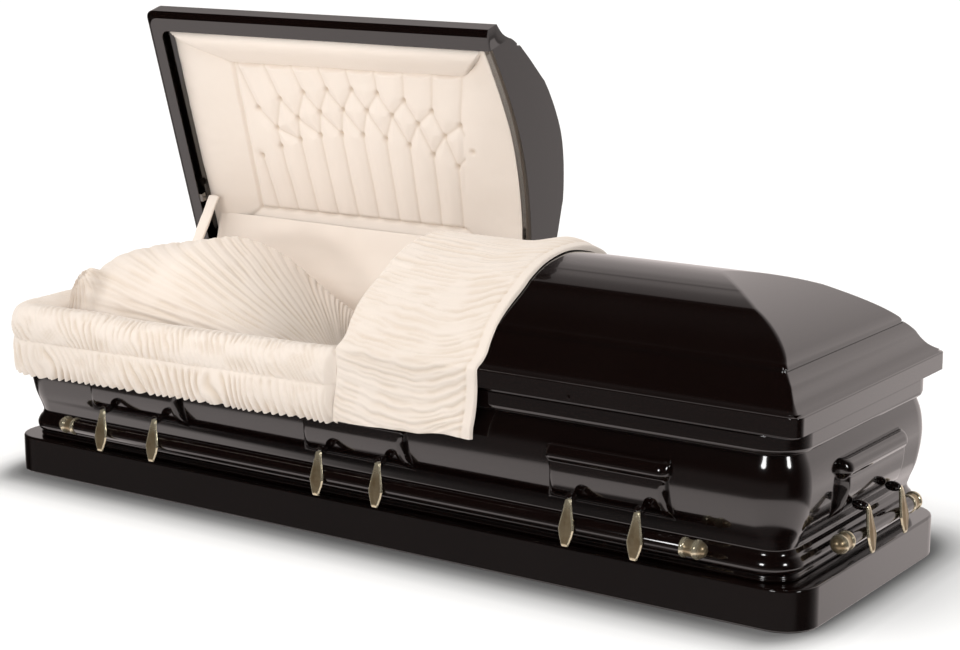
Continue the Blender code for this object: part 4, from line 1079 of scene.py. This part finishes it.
def lining_surface(name, node, body, sign, angle, rows, columns):
    """One lid's lining in the closed lid's coordinates, then turned with the lid."""
    near, far = LINING_START, HALF_LENGTH - BAND - CLEAR
    half = HALF_WIDTH - BAND - CLEAR
    x = -(near + (far - near) * np.linspace(0, 1, rows))[:, None]
    y = (half * np.linspace(-1, 1, columns))[None, :]
    x, y = np.broadcast_arrays(x, y)
    corners = np.array([(-far, -half), (-near, -half), (-near, half), (-far, half)])
    shares, lifts = [], []
    arch = arch_height(y) + 0.002
    for side, (edge_z, puff) in enumerate(((RIM + 0.020, 0.020), (arch, 0.004), (RIM + 0.026, 0.010),
                                           (RIM + 0.038, 0.012))):
        depth = []
        for line in (corners, np.array(PANEL)):
            p, q = line[side], line[(side + 1) % 4]
            along = (q - p) / np.linalg.norm(q - p)
            depth.append((y - p[1]) * along[0] - (x - p[0]) * along[1])
        share = depth[0] / np.maximum(depth[0] - depth[1], 1e-6)
        shares.append(share)
        t = np.clip(share, 0, 1)
        lifts.append(edge_z + (CARD - edge_z) * smoothstep(t, 0, 1) - puff * np.sin(np.pi * t ** 0.8) ** 0.8)
    shares, lifts = np.stack(shares), np.stack(lifts)
    side = shares.argmin(0)
    share = np.take_along_axis(shares, side[None], 0)[0]
    z = np.take_along_axis(lifts, side[None], 0)[0]
    ordered = np.sort(shares, 0)
    mitre = np.exp(-((ordered[1] - ordered[0]) / 0.05) ** 2) * (share < 1) * smoothstep(share, 0.1, 0.5)
    inner = smoothstep(share, 1.0, 1.10)
    tufts, segments = tufting()
    line = segment_distance(x, y, segments)
    spot = np.min([np.hypot(x - px, y - py) for px, py in tufts], axis=0)
    crease = np.exp(-((share - 1.0) / 0.035) ** 2) * np.where(side == 1, 0.0, 1.0)
    pleat = np.exp(-(line / 0.0034) ** 2) * np.where(share > 0.98, 1, 0)
    puffed = 1 - np.exp(-(line / 0.016) ** 2)
    button = np.exp(-(spot / 0.0065) ** 2)
    z = z - inner * 0.0065 * puffed + 0.0035 * crease + 0.0026 * pleat + 0.0075 * button + 0.002 * mitre
    z = z + 0.0016 * wander(x / 0.09 + 20, y / 0.07 + 20, 31) + 0.0005 * wander(x / 0.02 + 60,
                                                                                y / 0.018 + 60, 32)
    z = np.minimum(z, DEEPEST)
    front = np.stack([-x if sign > 0 else x, y, z], -1)
    rim = np.concatenate([front[:-1, 0], front[-1, :-1], front[:0:-1, -1], front[0, :0:-1]])
    outer = rim.copy()
    outer[:, 2] = BOARD
    grids = [(front, False, False), (np.stack([rim, outer]), False, True)]
    # Painted shade: the colour darkens in the pleats, along the border's crease, in the tufts and in the mitres.
    fold = 1 - 0.42 * pleat - 0.40 * crease - 0.8 * button - 0.3 * mitre
    fold = np.concatenate([fold.ravel(), np.ones(2 * len(rim))])
    grids = [(grid if angle == 0 else opened(grid), u, v) for grid, u, v in grids]
    piece = surface(name, grids, SMOOTH_CREPE, sharp=70.0, folds=np.clip(fold, 0, 1), caps=("last",))
    settle(piece, body, "crepe", node)
    return piece


lining_surface("head_lid_tufted_lining", "head_lid_lining", "head_lid", -1, OPEN, 330, 210)
lining_surface("foot_lid_tufted_lining", "foot_lid_lining", "foot_lid", 1, 0, 170, 110)

# %% [markdown]
# ## Throw over the foot lid
# A loosely folded cloth over the head edge of the closed lid. It hangs clear of the hollow mouldings,
# so its line skips them. The folds cross it from side to side and rise towards the bound right edge.

# %% Throw
throw_low, throw_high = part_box("foot_throw")


def throw_line():
    """Inner line of the throw over the lid as (y, height), from the front hem to the back."""
    w = HALF_WIDTH
    side = [(-(w + 0.0118), throw_low.z + 0.001), (-(w + 0.0112), throw_low.z + 0.03), (-(w + 0.0060), 0.345),
            (-(w + 0.0018), 0.392), (-(w + 0.0016), 0.428), (-(w - 0.0012), 0.4378), (-(w - 0.0205), 0.4478)]
    climb = [(-(w - 0.0372), 0.4625), (-(w - 0.0518), 0.4840), (-(w - 0.0700), 0.5045),
             (-(w - 0.0840), 0.5172)]
    crown = [(-0.2255, 0.5487), (-0.1746, 0.5808), (-0.1506, 0.5953), (-0.0975, 0.6133), (-0.0411, 0.6256),
             (0.0, 0.6293)]
    over = [(-y, z) for y, z in crown[-2::-1]] + [(w - 0.0840, 0.5180), (w - 0.0765, 0.5135)]
    return curve_through(side + climb + crown + over, 900)


def build_throw():
    """The throw: its inner line lifted along its normals by the filling, less at every crease."""
    line = throw_line()
    length = np.concatenate([[0], np.cumsum(np.linalg.norm(np.diff(line, axis=0), axis=1))])
    count = 430
    t = np.linspace(0, length[-1], count)
    line = np.stack([np.interp(t, length, line[:, k]) for k in (0, 1)], -1)
    normal = np.gradient(line, axis=0)
    normal = np.stack([-normal[:, 1], normal[:, 0]], -1)
    normal /= np.linalg.norm(normal, axis=1, keepdims=True)
    share = np.linspace(0, 1, 150)[None, :]
    t = t[:, None]
    left, right = throw_low.x, throw_high.x
    rise = np.where(share < 0.62, 0.030 * ((0.62 - share) / 0.62) ** 2,
                    0.060 * (np.clip(share - 0.62, 0, 1) / 0.38) ** 1.6)
    along = t - rise
    warp = 0.40 * wander(share * 2.6 + 3, t / 0.13 + 3, 41) + 0.16 * wander(share * 14 + 3, t / 0.03 + 3, 42)
    wide = along / 0.0225 + warp + 9
    fine = along / 0.0128 + 1.4 * warp + 5 + 0.4 * share
    shown = smoothstep(wander(share * 5.2 + 7, t / 0.028 + 7, 43), -0.25, 0.45)
    hidden = smoothstep(wander(share * 8.1 + 9, t / 0.020 + 9, 44), -0.2, 0.5)
    tuck = np.maximum(shown * creases(wide, 0.24), 0.7 * hidden * creases(fine, 0.30))
    hem = smoothstep(share, 0.925, 0.94)
    inside = 1 - hem
    swell = 0.0062 + inside * (0.0016 * (gathers(wide,
                                                 1.1) - 0.5) + 0.0008 * (gathers(fine) - 0.5) - 0.0020 * tuck)
    swell = swell + 0.0030 * wander(share * 2.3 + 4, t / 0.12 + 4, 45) + 0.0002 * hem
    pucker = np.exp(-((share - 0.925) / 0.012) ** 2)
    swell = swell - 0.0008 * pucker + 0.0014 * pucker * wander(0 * share, t / 0.012 + 2, 46)
    lump = 0.020 * np.exp(-((share - 0.84) / 0.15) ** 2 - ((line[:, :1] - 0.10) / 0.09) ** 2)
    swell = np.maximum(swell + lump, 0.0012)
    close = smoothstep(share, 0, 0.035) * (1 - smoothstep(share, 0.985, 1.0))
    swell = 0.0008 + (swell - 0.0008) * np.sqrt(np.clip(close, 0.0, 1))
    wave = 0.006 * wander(share * 5 + 1, 0 * t, 47) + 0.010 * (share - 0.5)
    edge_x = 0.004 * wander(t / 0.10 + 5, 0 * share, 48) * np.abs(2 * share - 1)
    x = left + 0.006 + (right - left - 0.010) * share + edge_x
    outer_y = line[:, :1] + normal[:, :1] * swell
    outer_z = line[:, 1:] + normal[:, 1:] * swell
    front = smoothstep(0.06 - t, 0.0, 0.06)
    outer_z = outer_z + front * (wave + 0.006)
    outer = np.stack([np.broadcast_to(x, outer_y.shape), outer_y, outer_z], -1)
    back_share = np.array([0.985, 0.5, 0.02])
    back_x = left + 0.006 + (right - left - 0.010) * back_share[None, :]
    inner = np.stack([np.broadcast_to(back_x, (count, 3)), np.broadcast_to(line[:, :1], (count, 3)),
                      np.broadcast_to(line[:, 1:] + front * 0.010, (count, 3))], -1)
    grid = np.concatenate([outer, inner], 1)
    # Painted shade: the colour darkens in the creases and along the puckered line by the hem.
    fold = np.concatenate([1 - 0.4 * tuck * inside - 0.2 * pucker * np.ones_like(t), np.ones((count, 3))], 1)
    piece = surface("folded_throw", [(grid, False, True)], CREPE, closed=True, caps=("first", "last"),
                    sharp=80.0,
                    folds=np.clip(fold, 0, 1))
    settle(piece, "foot_lid", "crepe", "foot_throw")
    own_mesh(piece)
    return piece


build_throw()

# %% [markdown]
# ## Lining of the body, bed and apron
# The wall inside the shell is shirred from top to bottom. The bed has a plain cover with a welt. The apron is a
# smooth cloth sewn to the open lid's lower border, which hides the hinges from inside. It crosses the lid's joint; it
# is one piece and isn't put on either body.

# %% Body lining and bed
LINING_IN = 0.0452


def around(count, half_length, half_width, radius):
    """Evenly spaced points of a rounded rectangle with their outward normals and run."""
    x, y = outline_ring([half_length], [half_width], [radius], 25)
    loop = np.stack([np.append(x[0], x[0, 0]), np.append(y[0], y[0, 0])], -1)
    run = np.concatenate([[0], np.cumsum(np.linalg.norm(np.diff(loop, axis=0), axis=1))])
    s = np.linspace(0, run[-1], count, endpoint=False)
    points = np.stack([np.interp(s, run, loop[:, k]) for k in (0, 1)], -1)
    step = np.roll(points, -1, 0) - np.roll(points, 1, 0)
    normal = np.stack([step[:, 1], -step[:, 0]], -1)
    return points, normal / np.linalg.norm(normal, axis=1, keepdims=True), s


def build_body_lining():
    """Shirred wall: upright gathers whose crests stand inwards from a rounded rectangle."""
    low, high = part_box("body_lining")
    points, normal, s = around(1500, high.x, high.y, BODY_CORNER - LINING_IN)
    share = np.linspace(0, 1, 11)
    z = low.z + (high.z - 0.004 - low.z) * share
    s, v = s[None, :], share[:, None]
    phase = s / 0.019 + 0.5 * wander(s / 0.12, v * 2, 51) + 0.2 * wander(s / 0.04, v * 4, 52)
    crest = gathers(phase)
    inward = 0.0062 + 0.0048 * crest
    inner = np.stack([points[None, :, 0] - normal[None, :, 0] * inward,
                      points[None, :, 1] - normal[None, :, 1] * inward,
                      np.repeat(z[:, None], s.shape[1], 1)], -1)
    outer = inner[::-1].copy()
    outer[..., :2] = points[None, :, :] - normal[None, :, :] * 0.0008
    grid = np.concatenate([inner, outer[[0, -1]]])
    # Painted shade: the colour darkens in the valleys between the gathers.
    fold = np.concatenate([crest, np.ones((2, s.shape[1]))])
    piece = surface("shirred_wall", [(grid, True, True)], CREPE, closed=True, sharp=80.0, folds=fold)
    settle(piece, "root", "crepe", "body_lining")


def build_bed():
    """The bed: a rounded edge over a welt, carried round a rounded rectangle."""
    edge = 0.030
    turn = arc((edge, bed_high.z - edge), edge, 180, 95, 12)
    welt = arc((0.002, bed_high.z - 0.045), 0.004, 240, 120, 6)
    profile = np.vstack([[(0.001, bed_low.z + 0.0005), (0.001, bed_low.z + 0.02)], welt, turn,
                         [(0.10, bed_high.z), (0.24, bed_high.z)]])
    grid = carried(profile, bed_high.x, bed_high.y, 0.04)
    piece = surface("covered_bed", [(grid, False, True)], SMOOTH_CREPE, closed=True, caps=("first", "last"),
                    sharp=50.0,
                    folds=np.ones(grid.shape[:2]))
    settle(piece, "root", "crepe", "bed")


build_body_lining()
build_bed()

# %% Apron and stay


def build_apron():
    """The apron: one curved drop, with a slow random waver and a shallow bow across it."""
    path = curve_through([(0.256, 0.262), (0.270, 0.300), (0.279, 0.345), (0.286, 0.385), (0.301, 0.415),
                          (0.322, 0.447),
                          (0.338, 0.482), (0.3475, 0.520), (0.3540, 0.548)], 90)
    x = np.linspace(-0.975, -0.070, 130)[None, :]
    v = np.linspace(0, 1, len(path))[:, None]
    soft = 0.0035 * wander(x / 0.14 + 20, v * 3, 61) + 0.0016 * wander(x / 0.05 + 40, v * 6, 62)
    bow = 0.010 * np.sin(np.pi * v) * np.cos(np.pi * (x + 0.52) / 1.1)
    y = path[:, :1] - soft - np.abs(bow) * 0.6
    z = np.repeat(path[:, 1:], x.shape[1], 1)
    grid = np.stack([np.broadcast_to(x, y.shape), y, z], -1)
    piece = surface("lid_apron", [(grid, False, False)], SMOOTH_CREPE, sharp=80.0, folds=np.ones(y.shape))
    thick = piece.modifiers.new("thickness", "SOLIDIFY")
    thick.thickness = 0.0016
    thick.offset = 0.0
    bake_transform(piece)
    print(piece.name, len(piece.data.polygons), "faces")


def build_stay():
    """Strap of folded cloth over the stay: a flat rounded section along the stay's line."""
    low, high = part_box("lid_support")
    lean = math.radians(-33.0)
    width = high.x - low.x
    angle = np.linspace(0, 2 * np.pi, 28, endpoint=False)[None, :]
    along = np.linspace(-0.190, 0.008, 60)[:, None]
    flat = np.sign(np.cos(angle)) * np.abs(np.cos(angle)) ** 0.35 * (width / 2 - 0.0006)
    thick = np.sign(np.sin(angle)) * np.abs(np.sin(angle)) ** 0.7 * 0.0042
    tuck = 0.0006 * wander(along / 0.012 + 9, angle * 2, 71)
    end = np.sqrt(np.clip(1 - np.clip((np.abs(along + 0.091) - 0.095) / 0.004, 0, 1) ** 2, 0.05, 1))
    x = (low.x + high.x) / 2 + (flat + tuck) * end
    y, z = (thick + tuck) * end, along + 0 * angle
    pivot = opened(np.array([0.0, HALF_WIDTH - 0.1965, RIM + 0.011]))
    grid = np.stack([x, pivot[1] + y * math.cos(lean) - z * math.sin(lean),
                     pivot[2] + y * math.sin(lean) + z * math.cos(lean)], -1)
    piece = surface("stay_sleeve", [(grid, False, True)], SMOOTH_CREPE, closed=True, caps=("first", "last"),
                    sharp=60.0,
                    folds=np.ones(grid.shape[:2]))
    settle(piece, "lid_support", "crepe", "lid_support")


build_apron()
build_stay()

# %% [markdown]
# ## Floor and light
# The photograph is a studio cut-out on white. A pale floor lies under a white surround, and the lamps
# are large and soft. The paint mirrors the surround, so that has a bright back wall, a bright strip of
# floor in front of it, and a dim front.

# %% Stage
STAGE_SIZE = 40.0
FLOOR_REACH = (0.24, 0.40)
FLOOR_SHADE = tuple((place, (shade, shade, shade, 1)) for place, shade in (
    (0.0, 0.13), (0.24, 0.17), (0.33, 0.30), (0.44, 0.60), (0.58, 0.86), (0.74, 0.97)))
WALL_ACROSS = ((0.0, 0.68), (0.20, 0.70), (0.38, 0.92), (0.47, 0.71), (0.54, 0.53), (0.72, 0.34))
EVEN_LIGHT = (0.64, 0.635, 0.63, 1)


def build_floor():
    """Pale board that darkens softly towards the plinth, as in the photograph's own contact shadow."""
    material, shader, start = new_finish("pale_floor", Roughness=0.9, Specular_IOR_Level=0.0)
    place = start.node("ShaderNodeTexCoord", output=3)
    apart = start.node("ShaderNodeVectorMath", {0: place}, operation="ABSOLUTE")
    past = start.node("ShaderNodeVectorMath",
                      {0: apart, 1: (base_high.x - BASE_CORNER, base_high.y - BASE_CORNER, 0.0)},
                      operation="SUBTRACT")
    past = start.node("ShaderNodeVectorMath", {0: past, 1: (0.0, 0.0, 0.0)}, operation="MAXIMUM")
    past = start.node("ShaderNodeVectorMath", {0: past, 1: (1 / FLOOR_REACH[0], 1 / FLOOR_REACH[1], 0.0)},
                      operation="MULTIPLY")
    far = start.node("ShaderNodeVectorMath", {0: past}, output=1, operation="LENGTH")
    shade = start.node("ShaderNodeValToRGB", {"Fac": far}, stops=FLOOR_SHADE)
    plug(material, shader, "Base Color", shade)
    half = STAGE_SIZE / 2
    corners = np.array([[(-half, -half, 0), (half, -half, 0)], [(-half, half, 0), (half, half, 0)]], float)
    floor = surface("floor", [(corners, False, False)], material)
    floor.visible_glossy = False
    return floor


def rising(start, value, low, high):
    """Smoothstep of a signal from 0 at low to 1 at high."""
    return start.node("ShaderNodeMapRange", {"Value": value, "From Min": low, "From Max": high},
                      interpolation_type="SMOOTHSTEP")


def build_world():
    """White to the camera, even to the cloth; the paint mirrors a bright back wall and a bright floor."""
    world = bpy.data.worlds.new("studio")
    bpy.context.scene.world = world
    world.use_nodes = True
    tree = world.node_tree
    tree.nodes.clear()
    start = Signal(tree)
    direction = start.node("ShaderNodeTexCoord", output=0)
    parts = start.node("ShaderNodeSeparateXYZ", {"Vector": direction}).socket.node.outputs
    right, away, up = (Signal(tree, parts[axis]) for axis in range(3))
    across = start.node("ShaderNodeValToRGB", {"Fac": right},
                        stops=tuple((x, (v, v, v, 1)) for x, v in WALL_ACROSS))
    down = -1.0 * up
    lean = start.node("ShaderNodeMapRange", {"Value": away, "From Min": 0.10, "From Max": 0.80})
    wall = across * lean * lean * (1.0 - 0.28 * rising(start, down, 0.25, 0.36))
    front = 0.095 * rising(start, -1.0 * away, 0.20, 0.60) * (1.0 - rising(start, up, -0.15, 0.08))
    wall = start.maths("MAXIMUM", 0.01 + wall, front)
    ground = 0.90 * rising(start, down, 0.38, 0.42) * (1.0 - rising(start, down, 0.64, 0.70))
    glow = start.maths("MAXIMUM", wall, ground)
    mirrored = start.node("ShaderNodeVectorMath", {0: (1.0, 0.90, 0.875), "Scale": glow}, operation="SCALE")
    rays = start.node("ShaderNodeLightPath").socket.node.outputs
    glossy, seen = Signal(tree, rays["Is Glossy Ray"]), Signal(tree, rays["Is Camera Ray"])
    color = blend_colors(start, glossy, EVEN_LIGHT, mirrored)
    color = blend_colors(start, seen, color, (1.0, 1.0, 1.0, 1))
    background = start.node("ShaderNodeBackground", {"Color": color, "Strength": 1.0})
    start.node("ShaderNodeOutputWorld", {"Surface": background})


def hang_lamp(name, kind, place, aim, power, **settings):
    """A lamp that points from its place to its aim."""
    data = bpy.data.lights.new(name, kind)
    data.energy = power
    for key, value in settings.items():
        setattr(data, key, value)
    lamp = bpy.data.objects.new(name, data)
    bpy.context.scene.collection.objects.link(lamp)
    lamp.location = place
    direction = Vector(aim) - Vector(place)
    lamp.rotation_euler = direction.to_track_quat("-Z", "Y").to_euler()
    lamp.visible_camera = False
    return lamp


build_floor()
build_world()
sky = hang_lamp("soft_sun", "SUN", (-1.2, -1.1, 3.2), (0, 0, 0), 1.78, angle=math.radians(50.0),
                color=(1.0, 0.985, 0.965))
sky.visible_glossy = False
hang_lamp("front_disk", "AREA", (0.45, -4.20, 2.05), (0.95, -0.35, 0.33), 24.0, shape="DISK", size=0.9)
hang_lamp("right_disk", "AREA", (4.94, -1.39, 2.13), (0.95, -0.35, 0.32), 24.0, shape="DISK", size=0.9)
lid_spot = hang_lamp("lid_spot", "SPOT", (-0.75, -3.2, 0.95), (-0.52, 0.45, 0.84), 135.0,
                     spot_size=math.radians(22.0), spot_blend=0.7, shadow_soft_size=0.35, color=(1.0, 0.99,
                                                                                                 0.985))
lid_spot.visible_glossy = False
bpy.context.scene.view_settings.view_transform = "Standard"
